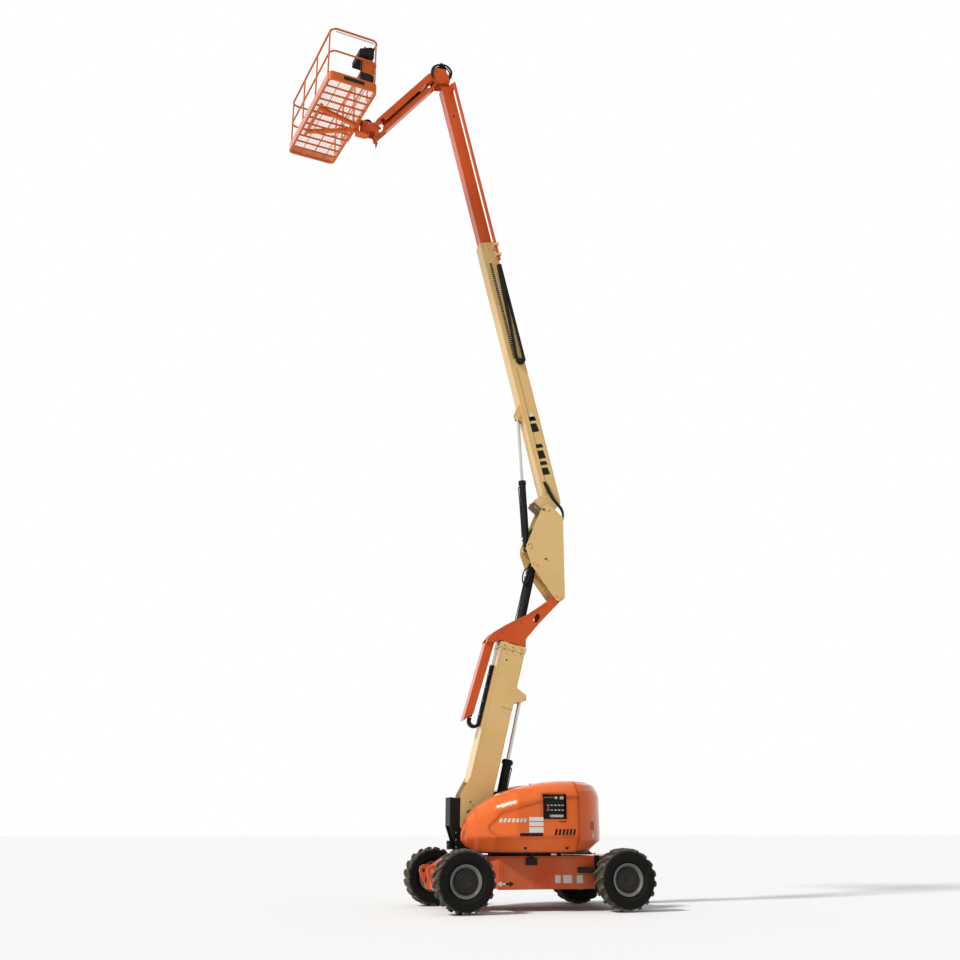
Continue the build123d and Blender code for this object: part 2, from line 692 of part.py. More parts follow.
def tower_fly():
    """Telescoping tube and the box head on top of it, with a mouth for the levelling cylinder and a groove
    in which the folded boom's cylinder lies."""
    gap = TOWER_FLY_GAP
    tube = tube_x(TOWER_FLY_START, TOWER_LENGTH + 60, TOWER_FLY_HALF_W,
                  TOWER_TOP_U + gap, TOWER_BOTTOM_U - gap, TOWER_WALL)
    tube = along(TOWER_PIVOT, TOWER_ANGLE) * tube
    half = GOOSENECK_HALF_W
    outline = gooseneck_outline()
    face = make_face(Polyline(*outline, close=True))
    hollow = offset(face, amount=-14)
    head = extrude(Plane.XZ.offset(-half) * face, amount=2 * half)
    head -= extrude(Plane.XZ.offset(-half + 14) * hollow, amount=2 * half - 28)
    head += rod_y(UPRIGHT_LOW_PIN, 62, -half, half)
    mouth = box(*MOUTH_X, -MOUTH_HALF_W, MOUTH_HALF_W, *MOUTH_Z)
    neck = (TOWER_LENGTH - 60, TOWER_LENGTH + 330)
    inside = box(*neck, -half + 15, half - 15, TOWER_TOP_U + gap + 8, TOWER_BOTTOM_U - gap - 8)
    inside = along(TOWER_PIVOT, TOWER_ANGLE) * inside
    inside &= box(*MOUTH_X, -half, half, 0, MOUTH_Z[0] + 50) + box(MOUTH_X[1] - 1, 0, -half, half, 0, MOUTH_Z[0] + 50)
    port = along(PORT_AT, PORT_ANGLE) * slab([(-80, -42), (80, -42), (80, 42), (-80, 42)], -half - 1, half + 1, 40)
    head -= mouth
    head -= slab(NECK_GROOVE, -NECK_GROOVE_HALF_W, NECK_GROOVE_HALF_W)
    head -= port
    head -= inside
    head -= rod_y(UPRIGHT_LOW_PIN, PIN_R + PIN_PLAY, -half - 1, half + 1)
    return tube + head


def carrier_arm():
    """Open-backed arm that hangs from the head and pulls the tower's cable track."""
    arm = [(-741, 4085), (-590, 4075), (-215, 2810), (-385, 2925)]
    shell = slab(arm, -100, 100)
    inner = [(-731, 4098), (-655, 4098), (-275, 2800), (-380, 2880)]
    return shell - slab(inner, -88, 88)


def tower_track():
    """Cable track on the tower's front face and round its free loop."""
    s0 = 1350
    s1 = 2330
    face_u = TOWER_TOP_U
    run = box(s0 + 60, s1, -45, 45, face_u - 55, face_u)
    loop = Pos(s0 + 30, 0, face_u - 110) * Rot(90, 0, 0) * (Cylinder(110, 90) - Cylinder(58, 92))
    loop &= box(s0 - 200, s0 + 60, -60, 60, face_u - 300, face_u)
    return along(TOWER_PIVOT, TOWER_ANGLE) * (run + loop)


# ------------------------------------------------------------------ upright
def upright():
    half = UPRIGHT_HALF_W
    plate_in = half - UPRIGHT_PLATE
    lx, lz = UPRIGHT_LOW_PIN
    bx, bz = BOOM_PIVOT
    rear = UPRIGHT_REAR_X
    side = [
        (rear, lz - 20),
        (rear, bz - 140),
        (bx - 70, bz + 55),
        (bx + 10, bz + 85),
        (bx + 90, bz + 30),
        (bx + 163, bz - 133),
        (BOOM_CYL_FOOT[0] + 62, BOOM_CYL_FOOT[1] + 20),
        (BOOM_CYL_FOOT[0] + 58, BOOM_CYL_FOOT[1] - 70),
        (LEVEL_CYL_PIN[0] + 65, LEVEL_CYL_PIN[1] - 40),
        (lx + 50, lz - 70),
        (lx - 30, lz - 80),
    ]
    body = both_sides(side, plate_in, half)
    body += box(rear, rear + 12, -plate_in, plate_in, lz + 210, bz - 330)
    web = [(bx + 235, bz - 620), (bx + 247, bz - 620), (bx + 147, bz - 330), (bx + 135, bz - 330)]
    body += slab(web, -plate_in, plate_in)
    pins = ((UPRIGHT_LOW_PIN, 0), (BOOM_PIVOT, 0), (BOOM_CYL_FOOT, 0), (LEVEL_CYL_PIN, 0))
    for pin, _ in pins:
        body += rod_y(pin, PIN_R, -half - 10, half + 10)
    return body


# ------------------------------------------------------------------ main boom
TUBE_Y = 235
TUBE_U = 265
TUBE_R = 30
TUBE_START = 4750
TUBE_GUIDES = (BOOM_BASE_LENGTH - 325, BOOM_BASE_LENGTH - 115)
TRAY_END = 2700
TRACK_START = 2790
TRACK_END = BOOM_BASE_LENGTH - 485


def boom_base():
    place = along(BOOM_PIVOT, BOOM_ANGLE)
    tube = tube_x(BOOM_BASE_START, BOOM_BASE_LENGTH, BOOM_HALF_W, BOOM_LOW_U, BOOM_HIGH_U, BOOM_WALL)
    heel = [
        (BOOM_BASE_START + 20, BOOM_HIGH_U),
        (190, BOOM_HIGH_U),
        (70, BOOM_HIGH_U - 10),
        (-85, 60),
        (-92, -20),
        (-50, -80),
        (90, -190),
        (200, -185),
        (BOOM_BASE_START + 20, BOOM_LOW_U),
    ]
    tube += both_sides(heel, BOOM_HALF_W - 14, BOOM_HALF_W)
    tube += box(190, BOOM_BASE_START, -BOOM_HALF_W + 1, BOOM_HALF_W - 1, BOOM_HIGH_U - BOOM_WALL, BOOM_HIGH_U)
    tube += rod_y((0, 0), 62, -BOOM_HALF_W, BOOM_HALF_W)
    s, u = to_local(BOOM_CYL_EYE, BOOM_PIVOT, BOOM_ANGLE)
    ear = [(s - 130, BOOM_LOW_U), (s - 40, u - 50), (s + 50, u - 50), (s + 210, BOOM_LOW_U)]
    tube += both_sides(ear, 52, 72)
    pin = rod_y((s, u), PIN_R, 52, 84)
    tube += pin + mirrored(pin)
    tube += box(BOOM_BASE_START + 60, TRAY_END, BOOM_HALF_W - 1, BOOM_HALF_W + 16, 55, 95)
    reach = TUBE_R + 22
    for s in TUBE_GUIDES:
        guide = box(s - 20, s + 20, BOOM_HALF_W - 1, TUBE_Y + reach, TUBE_U - reach, TUBE_U + reach)
        tube += guide - rod_x(TUBE_R + 6, s - 30, s + 30, TUBE_Y, TUBE_U)
    tube -= rod_y((0, 0), PIN_R + PIN_PLAY, -BOOM_HALF_W - 1, BOOM_HALF_W + 1)
    return place * tube


def boom_fly():
    place = along(BOOM_PIVOT, BOOM_ANGLE)
    tube = tube_x(FLY_START, FLY_END, FLY_HALF_W, FLY_LOW_U, FLY_HIGH_U, FLY_WALL)
    s, u = to_local(KNUCKLE_PIN, BOOM_PIVOT, BOOM_ANGLE)
    nose = [(FLY_END - 60, FLY_LOW_U + 2), (FLY_END, FLY_LOW_U + 2), (s, u - 58), (s + 52, u - 28),
            (s + 52, u + 28), (s, u + 58), (FLY_END, FLY_HIGH_U - 2), (FLY_END - 60, FLY_HIGH_U - 2)]
    tube += slab(nose, -80, 80)
    tube -= rod_y((s, u), PIN_R + PIN_PLAY, -200, 200)
    return place * tube


def carrier_tube():
    tube = rod_x(TUBE_R, TUBE_START, FLY_END - 10, TUBE_Y, TUBE_U)
    tube -= rod_x(TUBE_R - 5, TUBE_START - 1, FLY_END - 120, TUBE_Y, TUBE_U)
    bracket = box(FLY_END - 110, FLY_END - 20, FLY_HALF_W, TUBE_Y, FLY_HIGH_U - 60, FLY_HIGH_U)
    return along(BOOM_PIVOT, BOOM_ANGLE) * (tube + bracket)


def boom_track():
    """Cable track on the left side of the boom, with the loop at its low end."""
    y0 = BOOM_HALF_W
    y1 = BOOM_HALF_W + 60
    s0 = TRACK_START
    s1 = TRACK_END
    strip = [(s1, 228), (s1, 300), (s0, 300), (s0, 130)]
    track = slab(strip, y0, y1)
    track += rod_y((s0, 215), 85, y0, y1)
    track -= slab([(s1 - 390, 268), (s0 + 60, 268), (s0 + 10, 240), (s0 + 10, 190), (s0 + 60, 165)], y0 - 1, y1 + 1)
    return along(BOOM_PIVOT, BOOM_ANGLE) * track


# ------------------------------------------------------------------ knuckle and jib
JIB_DIR = (cos(radians(JIB_ANGLE)), sin(radians(JIB_ANGLE)))
JIB_END = (JIB_PIN[0] + JIB_LENGTH * JIB_DIR[0], JIB_PIN[1] + JIB_LENGTH * JIB_DIR[1])
LINK_PIN = (JIB_PIN[0] + JIB_LINK_OFFSET[0], JIB_PIN[1] + JIB_LINK_OFFSET[1])
LINK_END = (JIB_END[0] + JIB_LINK_OFFSET[0], JIB_END[1] + JIB_LINK_OFFSET[1])
ARM_HALF_W = 70
LINK_IN = 80
LINK_OUT = 94
JIB_CYL_FOOT_S = 1250


def link_stubs(point):
    stub = rod_y(point, 20, LINK_IN - 4, KNUCKLE_HALF_W)
    return stub + mirrored(stub)


def knuckle():
    half = KNUCKLE_HALF_W
    inner = half - KNUCKLE_PLATE
    kx, kz = KNUCKLE_PIN
    jx, jz = JIB_PIN
    outline = [
        (kx - 75, kz - 60),
        (jx + 40, jz - 60),
        (jx + 90, jz),
        (jx + 85, jz + 250),
        (jx + 50, kz + 255),
        (kx + 10, kz + 255),
        (kx - 80, kz + 90),
    ]
    body = both_sides(outline, inner, half)
    body += box(kx - 10, kx + 100, -inner, inner, kz + 240, kz + 255)
    body += rod_y(KNUCKLE_PIN, PIN_R, -half - 8, half + 8)
    body += rod_y(JIB_PIN, 24, -half - 8, half + 8)
    return body + link_stubs(LINK_PIN)


def knuckle_guard():
    """Ribbed hose guard over the knuckle."""
    kx, kz = KNUCKLE_PIN
    top = kz + 255
    arch = [(kx - 30, top), (kx + 5, top + 130), (kx + 60, top + 170), (kx + 105, top + 150), (kx + 118, top)]
    guard = slab(arch, -90, 90)
    return guard


def jib_arm():
    place = along(JIB_PIN, JIB_ANGLE)
    end = JIB_LENGTH
    body = box(250, end - 250, -ARM_HALF_W, ARM_HALF_W, -48, 48)
    body -= box(240, end - 240, -ARM_HALF_W + 8, ARM_HALF_W - 8, -38, 60)
    taper = [(0, -40), (260, -48), (260, 47), (225, 20), (160, -6), (0, 40)]
    mirror_taper = [(end - s, u) for s, u in taper]
    for shape in (taper, mirror_taper):
        body += both_sides(shape, ARM_HALF_W - 16, ARM_HALF_W)
    for s in (0, end):
        hub = rod_y((s, 0), 44, ARM_HALF_W - 30, ARM_HALF_W)
        body += hub + mirrored(hub)
        body -= rod_y((s, 0), 24 + PIN_PLAY, -200, 200)
    body += rod_y((JIB_CYL_FOOT_S, 20), 18, -ARM_HALF_W, ARM_HALF_W)
    return place * body


def jib_link():
    place = along(LINK_PIN, JIB_ANGLE)
    end = JIB_LENGTH
    body = box(150, end - 150, -LINK_OUT, LINK_OUT, -62, 62)
    body -= box(100, end - 100, -LINK_IN, LINK_IN, -70, 52)
    body -= slab([(140, 40), (1080, 40), (1080, 70), (140, 70)], -44, 44)
    body -= box(end - 250, end - 165, -LINK_OUT - 1, LINK_OUT + 1, -70, 12)
    ear = [(0, -34), (160, -62), (160, 62), (0, 34)]
    far_ear = [(end - s, u) for s, u in ear]
    for shape in (ear, far_ear):
        body += both_sides(shape, LINK_IN, LINK_OUT)
    for s in (0, end):
        hub = rod_y((s, 0), 36, LINK_IN, LINK_OUT)
        body += hub + mirrored(hub)
        body -= rod_y((s, 0), 20 + PIN_PLAY, -200, 200)
    return place * body


def jib_cylinder():
    foot_s, foot_u = JIB_CYL_FOOT_S, 20
    c, s = JIB_DIR
    foot = (JIB_PIN[0] + foot_s * c - foot_u * s, JIB_PIN[1] + foot_s * s + foot_u * c)
    eye = LINK_PIN
    length = hypot(eye[0] - foot[0], eye[1] - foot[1])
    angle = degrees(atan2(eye[1] - foot[1], eye[0] - foot[0]))
    place = along(foot, angle)
    barrel = rod_x(32, 25, 860) - rod_x(26, 60, 810) - rod_x(16.5, 60, 900)
    barrel += rod_y((0, 0), 30, -34, 34)
    barrel -= rod_y((0, 0), 18 + PIN_PLAY, -40, 40)
    rod = rod_x(16, 560, length - 10) + rod_x(24, 560, 600) + rod_y((length, 0), 26, -34, 34)
    return place * barrel, place * rod


def jib_head():
    """Bracket at the jib's end that stays level and holds the rotator's housing."""
    half = KNUCKLE_HALF_W
    inner = half - KNUCKLE_PLATE
    ex, ez = JIB_END
    front = ROTATOR_X - 5
    z0, z1 = ROTATOR_Z
    outline = [
        (ex - 30, ez - 155),
        (ex - 10, ez - 30),
        (ex + 45, ez + 64),
        (ex + 137, ez + 72),
        (front, z0 + 13),
        (front, z1 - 60),
        (LINK_END[0] + 30, z1 - 5),
        (LINK_END[0] - 30, z1 - 5),
        (ex - 62, ez - 20),
    ]
    body = both_sides(outline, inner, half)
    body += box(ex + 137, ROTATOR_X - 60, -inner, inner, z0 + 40, z0 + 60)
    body += box(ex + 137, ROTATOR_X - 60, -inner, inner, z1 - 70, z1 - 50)
    body += rod_y(JIB_END, 24, -half - 8, half + 8)
    body += link_stubs(LINK_END)
    housing = Pos(ROTATOR_X, 0, (z0 + z1) / 2) * Cylinder(ROTATOR_R, z1 - z0)
    side_block = box(ROTATOR_X - 50, ROTATOR_X + 50, -inner, inner, z0 + 30, z1 - 70)
    return body + side_block + housing


# ------------------------------------------------------------------ platform
def platform_place():
    """Platform frame: origin on the floor's underside at its middle, X across, Y along."""
    return Pos(PLATFORM_CENTRE_X, 0, PLATFORM_FLOOR_Z) * Rot(0, 0, PLATFORM_YAW)


def at_rotator():
    """Frame of the rotator's axis, turned with the platform."""
    return Pos(ROTATOR_X, 0, 0) * Rot(0, 0, PLATFORM_YAW)


HALF_L = PLATFORM_L / 2
HALF_D = PLATFORM_D / 2
FLOOR_H = 40
TOE_H = 165


def floor_frame():
    outer = RectangleRounded(PLATFORM_D, PLATFORM_L, 90)
    inner = RectangleRounded(PLATFORM_D - 10, PLATFORM_L - 10, 85)
    toe = extrude(outer, amount=TOE_H) - extrude(inner, amount=TOE_H)
    rim_in = RectangleRounded(PLATFORM_D - 80, PLATFORM_L - 80, 50)
    body = toe + extrude(outer, amount=FLOOR_H) - extrude(rim_in, amount=FLOOR_H)
    ribs = 11
    pitch = (PLATFORM_L - 80) / (ribs + 1)
    for i in range(ribs):
        y = -PLATFORM_L / 2 + 40 + pitch * (i + 1)
        body += box(-HALF_D + 38, HALF_D - 38, y - 8, y + 8, 0, 30)
    for x in (-HALF_D / 2, 0, HALF_D / 2):
        body += box(x - 6, x + 6, -HALF_L + 38, HALF_L - 38, 4, 26)
    return platform_place() * body


def floor_mesh():
    """Open grid that the operator stands on, laid on the ribs."""
    z0 = 30
    half_d = HALF_D - 40
    half_l = HALF_L - 40
    grid = RectangleRounded(2 * half_d, 2 * half_l, 50)
    nx = 6
    ny = 20
    px = (2 * half_d - 16) / nx
    py = (2 * half_l - 16) / ny
    with BuildSketch() as openings:
        with GridLocations(px, py, nx, ny):
            Rectangle(px - 14, py - 14)
    plate = extrude(grid, amount=8) - extrude(openings.sketch, amount=8)
    return platform_place() * (Pos(0, 0, z0) * plate)


def rail_loop(z, half_d, half_l, radius):
    path = (Pos(0, 0, z) * RectangleRounded(2 * half_d, 2 * half_l, 110)).wires()[0]
    profile = Plane(origin=(half_d, 0, z), z_dir=(0, 1, 0)) * Circle(radius)
    return sweep(profile, path=path)


def platform_rails():
    """Top and middle rail and the posts; the gap in the rear side is closed by the gate."""
    half_d = HALF_D - RAIL_R
    half_l = HALF_L - RAIL_R
    body = rail_loop(RAIL_H - RAIL_R, half_d, half_l, RAIL_R)
    body += rail_loop(RAIL_H / 2 + 60, half_d, half_l, RAIL_R - 2)
    posts = [(x, y) for x in (-half_d, half_d) for y in (-half_l + 110, half_l - 110)]
    posts += [(half_d, -380), (half_d, 380), (-half_d, -700), (-half_d, 0), (-half_d, 700)]
    for x, y in posts:
        body += Pos(x, y, (TOE_H + RAIL_H - RAIL_R) / 2) * Cylinder(RAIL_R - 4, RAIL_H - RAIL_R - TOE_H)
    gate = box(-HALF_D - 40, -HALF_D + 60, GATE_Y[0], GATE_Y[1], TOE_H, RAIL_H - 60)
    return platform_place() * (body - gate)


GATE_Y = (-684, -16)


def platform_gate():
    x = -HALF_D + RAIL_R
    y0 = GATE_Y[0] + 8
    y1 = GATE_Y[1] - 8
    z_mid = RAIL_H / 2 + 60
    z_low = TOE_H + 30
    z_high = RAIL_H - 110
    r = RAIL_R - 5
    body = Pos(x, y0 + r, (z_low + z_high) / 2) * Cylinder(r, z_high - z_low)
    body += Pos(x, y1 - r, (z_low + z_high) / 2) * Cylinder(r, z_high - z_low)
    for z in (z_low, z_mid, z_high):
        body += Pos(x, 0, z) * (Pos(0, (y0 + y1) / 2, 0) * Rot(90, 0, 0) * Cylinder(r, y1 - y0 - 2 * r))
    return platform_place() * body


def platform_console():
    """Operator's control box on the rear rail, near the left end."""
    y0 = HALF_L - 580
    y1 = HALF_L - 160
    x = -HALF_D + 2 * RAIL_R
    desk = [(x, RAIL_H - 270), (x, RAIL_H - 60), (x + 70, RAIL_H - 60), (x + 270, RAIL_H - 150), (x + 270, RAIL_H - 270)]
    body = slab(desk, y0, y1)
    body += box(x, x + 92, y0 + 60, y1 - 60, RAIL_H - 460, RAIL_H - 269)
    return platform_place() * body


def platform_support():
    """Clamp above and below the rotator, its back plate, and the arms under the floor."""
    z0, z1 = ROTATOR_Z
    gap = 5
    half = 80
    plate = box(ROTATOR_BACK - 26, ROTATOR_BACK, -half, half, z0 - gap - 30, z1 + gap + 30)
    for low, high in ((z0 - gap - 30, z0 - gap), (z1 + gap, z1 + gap + 30)):
        plate += box(0, ROTATOR_BACK, -half, half, low, high)
        plate += Pos(0, 0, (low + high) / 2) * Cylinder(half, high - low)
    low = PLATFORM_FLOOR_Z - 60
    q = (ROTATOR_X - PLATFORM_CENTRE_X) * sin(radians(PLATFORM_YAW))
    far = ROTATOR_BACK + PLATFORM_D - 90
    for side in (-1, 1):
        near = ROTATOR_BACK - 20
        plan = [(near, side * 20), (near, side * 95), (far, q + side * ARM_SPREAD), (far, q + side * (ARM_SPREAD - 75))]
        arm = make_face(Polyline(*plan, close=True))
        plate += Pos(0, 0, low) * extrude(arm, amount=PLATFORM_FLOOR_Z - low)
    plate += box(ROTATOR_BACK - 1, ROTATOR_BACK + 60, q - 330, q + 330, low + 20, PLATFORM_FLOOR_Z)
    plate += box(far - 50, far, q - ARM_SPREAD - 60, q + ARM_SPREAD + 60, low + 20, PLATFORM_FLOOR_Z)
    return at_rotator() * plate


# ------------------------------------------------------------------ assembly
def build():
    node("chassis_frame", chassis_frame())
    node("front_axle", front_axle())
    node("rear_axle", rear_axle())
    node("slew_bearing", slew_bearing())
    node("steer_knuckle_left", steer_knuckle(1))
    node("steer_knuckle_right", steer_knuckle(-1))
    node("tie_rod", tie_rod())
    tyre_shape = tyre()
    rim_shape = rim()
    # corner: name, x, side
    corners = (("front_left", 0, 1), ("front_right", 0, -1),
               ("rear_left", -WHEELBASE, 1), ("rear_right", -WHEELBASE, -1))
    for name, x, side in corners:
        place = Pos(x, side * TRACK_HALF, TYRE_R) * Rot(-90 * side, 0, 0)
        node(f"tyre_{name}", place * tyre_shape)
        node(f"rim_{name}", place * rim_shape)

    node("turntable_frame", turntable_frame())
    node("counterweight", counterweight())
    left_hood = hood()
    window = box(CONTROL_X[0], CONTROL_X[1], SLOT_HALF_W + 400, TAIL_R, CONTROL_Z[0], CONTROL_Z[1])
    node("hood_left", left_hood - window)
    node("hood_right", mirrored(left_hood))
    node("engine_block", engine_block())
    node("ground_controls", ground_controls())

    node("tower_base", tower_base())
    node("tower_track", tower_track())
    node("tower_fly", tower_fly())
    node("tower_carrier_arm", carrier_arm())
    # cylinder: foot, eye, barrel radius, rod radius, barrel length, rod's inner end, collar's step
    cylinders = {
        "tower_cylinder": (TOWER_CYL_FOOT, TOWER_CYL_EYE, 72, 30, 1235, 880, 18),
        "level_cylinder": (LEVEL_CYL_PIN, LEVEL_CYL_EYE, 74, 30, 1090, 960, 6),
        "boom_cylinder": (BOOM_CYL_FOOT, BOOM_CYL_EYE, 58, 25, 1220, 950, 9),
    }
    for name, sizes in cylinders.items():
        barrel, rod = cylinder_pair(*sizes)
        node(f"{name}_barrel", barrel)
        node(f"{name}_rod", rod)
    node("upright", upright())
    node("boom_base", boom_base())
    node("boom_track", boom_track())
    node("boom_fly", boom_fly())
    node("boom_carrier_tube", carrier_tube())
    node("knuckle", knuckle())
    node("knuckle_guard", knuckle_guard())
    node("jib_arm", jib_arm())
    node("jib_link", jib_link())
    barrel, rod = jib_cylinder()
    node("jib_cylinder_barrel", barrel)
    node("jib_cylinder_rod", rod)
    node("jib_head", jib_head())
    node("platform_support", platform_support())
    node("platform_floor", floor_frame())
    node("platform_mesh", floor_mesh())
    node("platform_rails", platform_rails())
    node("platform_gate", platform_gate())
    node("platform_console", platform_console())


build()
for name, shape in NODES.items():
    export_step(shape, f"parts/{name}.step")
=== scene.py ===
import math

import bmesh
import bpy
from mathutils import Matrix, Vector
from mathutils.bvhtree import BVHTree


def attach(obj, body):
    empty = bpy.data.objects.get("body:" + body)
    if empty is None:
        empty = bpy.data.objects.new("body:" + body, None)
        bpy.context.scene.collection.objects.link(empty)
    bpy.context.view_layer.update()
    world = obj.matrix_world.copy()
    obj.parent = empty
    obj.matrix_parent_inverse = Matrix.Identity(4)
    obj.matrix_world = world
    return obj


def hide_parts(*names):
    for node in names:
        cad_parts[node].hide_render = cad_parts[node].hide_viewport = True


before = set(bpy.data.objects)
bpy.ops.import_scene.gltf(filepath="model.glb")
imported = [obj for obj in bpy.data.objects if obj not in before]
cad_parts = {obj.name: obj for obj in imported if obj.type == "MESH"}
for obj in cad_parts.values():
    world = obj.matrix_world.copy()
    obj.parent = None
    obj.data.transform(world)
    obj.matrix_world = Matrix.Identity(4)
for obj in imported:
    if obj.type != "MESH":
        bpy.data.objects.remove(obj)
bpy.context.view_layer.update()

# Yard: a plain pale floor under open daylight. One broad, high lamp like a hazy sun stands off the machine's
# front left, and the pale sky lights everything else. The floor keeps the machine's soft shadow.
YARD_SIZE = 900.0
FLOOR_COLOUR = (0.86, 0.86, 0.86, 1)
FLOOR_COLOUR_WORN = (0.83, 0.83, 0.825, 1)
SKY_COLOUR = (0.93, 0.96, 1.0, 1)
SKY_STRENGTH = 0.46
SUN_FROM = Vector((1.0, 0.36, 1.05))
SUN_STRENGTH = 3.0

scene = bpy.context.scene
scene.view_settings.view_transform = "Standard"


def new_material(name):
    """Empty node material; returns it with its node tree and its Principled shader."""
    material = bpy.data.materials.new(name)
    material.use_nodes = True
    tree = material.node_tree
    tree.nodes.clear()
    shader = tree.nodes.new("ShaderNodeBsdfPrincipled")
    output = tree.nodes.new("ShaderNodeOutputMaterial")
    tree.links.new(shader.outputs["BSDF"], output.inputs["Surface"])
    return material, tree, shader


def feed(tree, node, feeds):
    """Gives each input of a node its value, or joins another node's output to it."""
    for socket, source in feeds.items():
        if isinstance(source, bpy.types.NodeSocket):
            tree.links.new(source, node.inputs[socket])
        else:
            node.inputs[socket].default_value = source


def add_node(tree, kind, feeds, **settings):
    """New node with its fields set and its inputs fed."""
    made = tree.nodes.new(kind)
    for field, value in settings.items():
        setattr(made, field, value)
    feed(tree, made, feeds)
    return made


floor_mesh = bpy.data.meshes.new("yard_floor")
half = YARD_SIZE / 2
floor_mesh.from_pydata([(-half, -half, 0), (half, -half, 0), (half, half, 0), (-half, half, 0)], [], [(0, 1, 2, 3)])
yard_floor = bpy.data.objects.new("yard_floor", floor_mesh)
scene.collection.objects.link(yard_floor)
concrete, tree, shader = new_material("yard_concrete")
speckle = add_node(tree, "ShaderNodeTexNoise", {"Scale": 0.8})
tones = add_node(tree, "ShaderNodeMixRGB", {
    "Fac": speckle.outputs["Fac"], "Color1": FLOOR_COLOUR, "Color2": FLOOR_COLOUR_WORN})
feed(tree, shader, {"Roughness": 0.95, "Specular IOR Level": 0.1, "Base Color": tones.outputs["Color"]})
floor_mesh.materials.append(concrete)

world = bpy.data.worlds.new("sky")
scene.world = world
world.use_nodes = True
sky = world.node_tree
hazy_sky = sky.nodes["Background"]
feed(sky, hazy_sky, {"Color": SKY_COLOUR, "Strength": SKY_STRENGTH})
plain_sky = add_node(sky, "ShaderNodeBackground", {"Color": (1.0, 1.0, 1.0, 1), "Strength": 1.0})
ray = add_node(sky, "ShaderNodeLightPath", {})
mirrored = add_node(sky, "ShaderNodeMath", {0: ray.outputs["Is Glossy Ray"], 1: ray.outputs["Is Transmission Ray"]},
                    operation="MAXIMUM")
seen = add_node(sky, "ShaderNodeMath", {0: ray.outputs["Is Camera Ray"], 1: mirrored.outputs["Value"]},
                operation="MAXIMUM")
pick = add_node(sky, "ShaderNodeMixShader", {
    "Fac": seen.outputs["Value"], 1: hazy_sky.outputs["Background"], 2: plain_sky.outputs["Background"]})
feed(sky, sky.nodes["World Output"], {"Surface": pick.outputs["Shader"]})

sun = bpy.data.lights.new("hazy_sun", "SUN")
sun.energy = SUN_STRENGTH
sun.angle = math.radians(7)
sun.color = (1.0, 0.985, 0.95)
sun_object = bpy.data.objects.new("hazy_sun", sun)
sun_object.rotation_mode = "QUATERNION"
sun_object.rotation_quaternion = (-SUN_FROM).to_track_quat("-Z", "Y")
sun_object.location = SUN_FROM * 20
scene.collection.objects.link(sun_object)

# Viewer: stands a few machine lengths away on its left side, near the ground, and looks up along the booms.
# The sensor is 36 mm wide behind a 40.5 mm lens, pitched up and never rolled.
VIEWER = Vector((4.003, 17.124, 1.117))
VIEW_FORWARD = Vector((-0.2554, -0.9668, 0))
VIEW_PITCH = math.radians(18.08)
camera_data = bpy.data.cameras.new("viewer")
camera_data.lens = 40.5
camera_data.sensor_width = 36.0
camera = bpy.data.objects.new("viewer", camera_data)
scene.collection.objects.link(camera)
scene.camera = camera
camera.location = VIEWER
look = VIEW_FORWARD * math.cos(VIEW_PITCH) + Vector((0, 0, math.sin(VIEW_PITCH)))
camera.rotation_mode = "QUATERNION"
camera.rotation_quaternion = look.to_track_quat("-Z", "Y")

# Chassis frame: a welded steel box in safety orange. The paint is thick and slightly rippled, chalky on top,
# with road dust that is heavier low down. Weld beads run where the plates meet. Blank plates and a pair of
# drive-direction arrows sit on both sides, the turntable's lock on the left one.
# The frame's two oranges are the hood's orange darkened with painted shade, for the shade the frame sits in under the
# deck.
ORANGE_WITH_PAINTED_SHADE = (0.55, 0.062, 0.008, 1)
ORANGE_FADED_WITH_PAINTED_SHADE = (0.62, 0.098, 0.008, 1)
DUST = (0.42, 0.36, 0.29, 1)


def shader_group(name, inputs, outputs):
    """Empty node group; inputs are (name, kind, value), outputs are (name, kind)."""
    group = bpy.data.node_groups.new(name, "ShaderNodeTree")
    for label, kind, value in inputs:
        socket = group.interface.new_socket(label, in_out="INPUT", socket_type=kind)
        socket.default_value = value
    for label, kind in outputs:
        group.interface.new_socket(label, in_out="OUTPUT", socket_type=kind)
    return group, group.nodes.new("NodeGroupInput"), group.nodes.new("NodeGroupOutput")


# weathering: two tones that drift over the panel, faint runs of dirt down the sides, dust that thins out with
# height, and a height for bumps
weathering, g_in, g_out = shader_group(
    "weathering",
    (
        ("Tone", "NodeSocketColor", (0.5, 0.5, 0.5, 1)),
        ("Faded Tone", "NodeSocketColor", (0.6, 0.6, 0.6, 1)),
        ("Dust Tone", "NodeSocketColor", DUST),
        ("Dust", "NodeSocketFloat", 0.3),
        ("Dust Reach", "NodeSocketFloat", 1.2),
        ("Patch Scale", "NodeSocketFloat", 1.5),
        ("Grain Scale", "NodeSocketFloat", 60.0),
        ("Roughness", "NodeSocketFloat", 0.35),
    ),
    (
        ("Color", "NodeSocketColor"),
        ("Roughness", "NodeSocketFloat"),
        ("Height", "NodeSocketFloat"),
    ),
)
spot = add_node(weathering, "ShaderNodeTexCoord", {}).outputs["Object"]
patches = add_node(weathering, "ShaderNodeTexNoise", {
    "Detail": 5.0, "Vector": spot, "Scale": g_in.outputs["Patch Scale"]})
grain = add_node(weathering, "ShaderNodeTexNoise", {
    "Detail": 3.0, "Vector": spot, "Scale": g_in.outputs["Grain Scale"]})
stretched = add_node(weathering, "ShaderNodeVectorMath", {0: spot, 1: (22.0, 22.0, 0.9)}, operation="MULTIPLY")
runs = add_node(weathering, "ShaderNodeTexNoise", {
    "Detail": 3.0, "Scale": 1.0, "Vector": stretched.outputs["Vector"]})
run_mask = add_node(weathering, "ShaderNodeMapRange", {
    "Value": runs.outputs["Fac"], "From Min": 0.60, "From Max": 0.80, "To Max": 0.22})
patch_range = add_node(weathering, "ShaderNodeMapRange", {
    "Value": patches.outputs["Fac"], "From Min": 0.35, "From Max": 0.7})
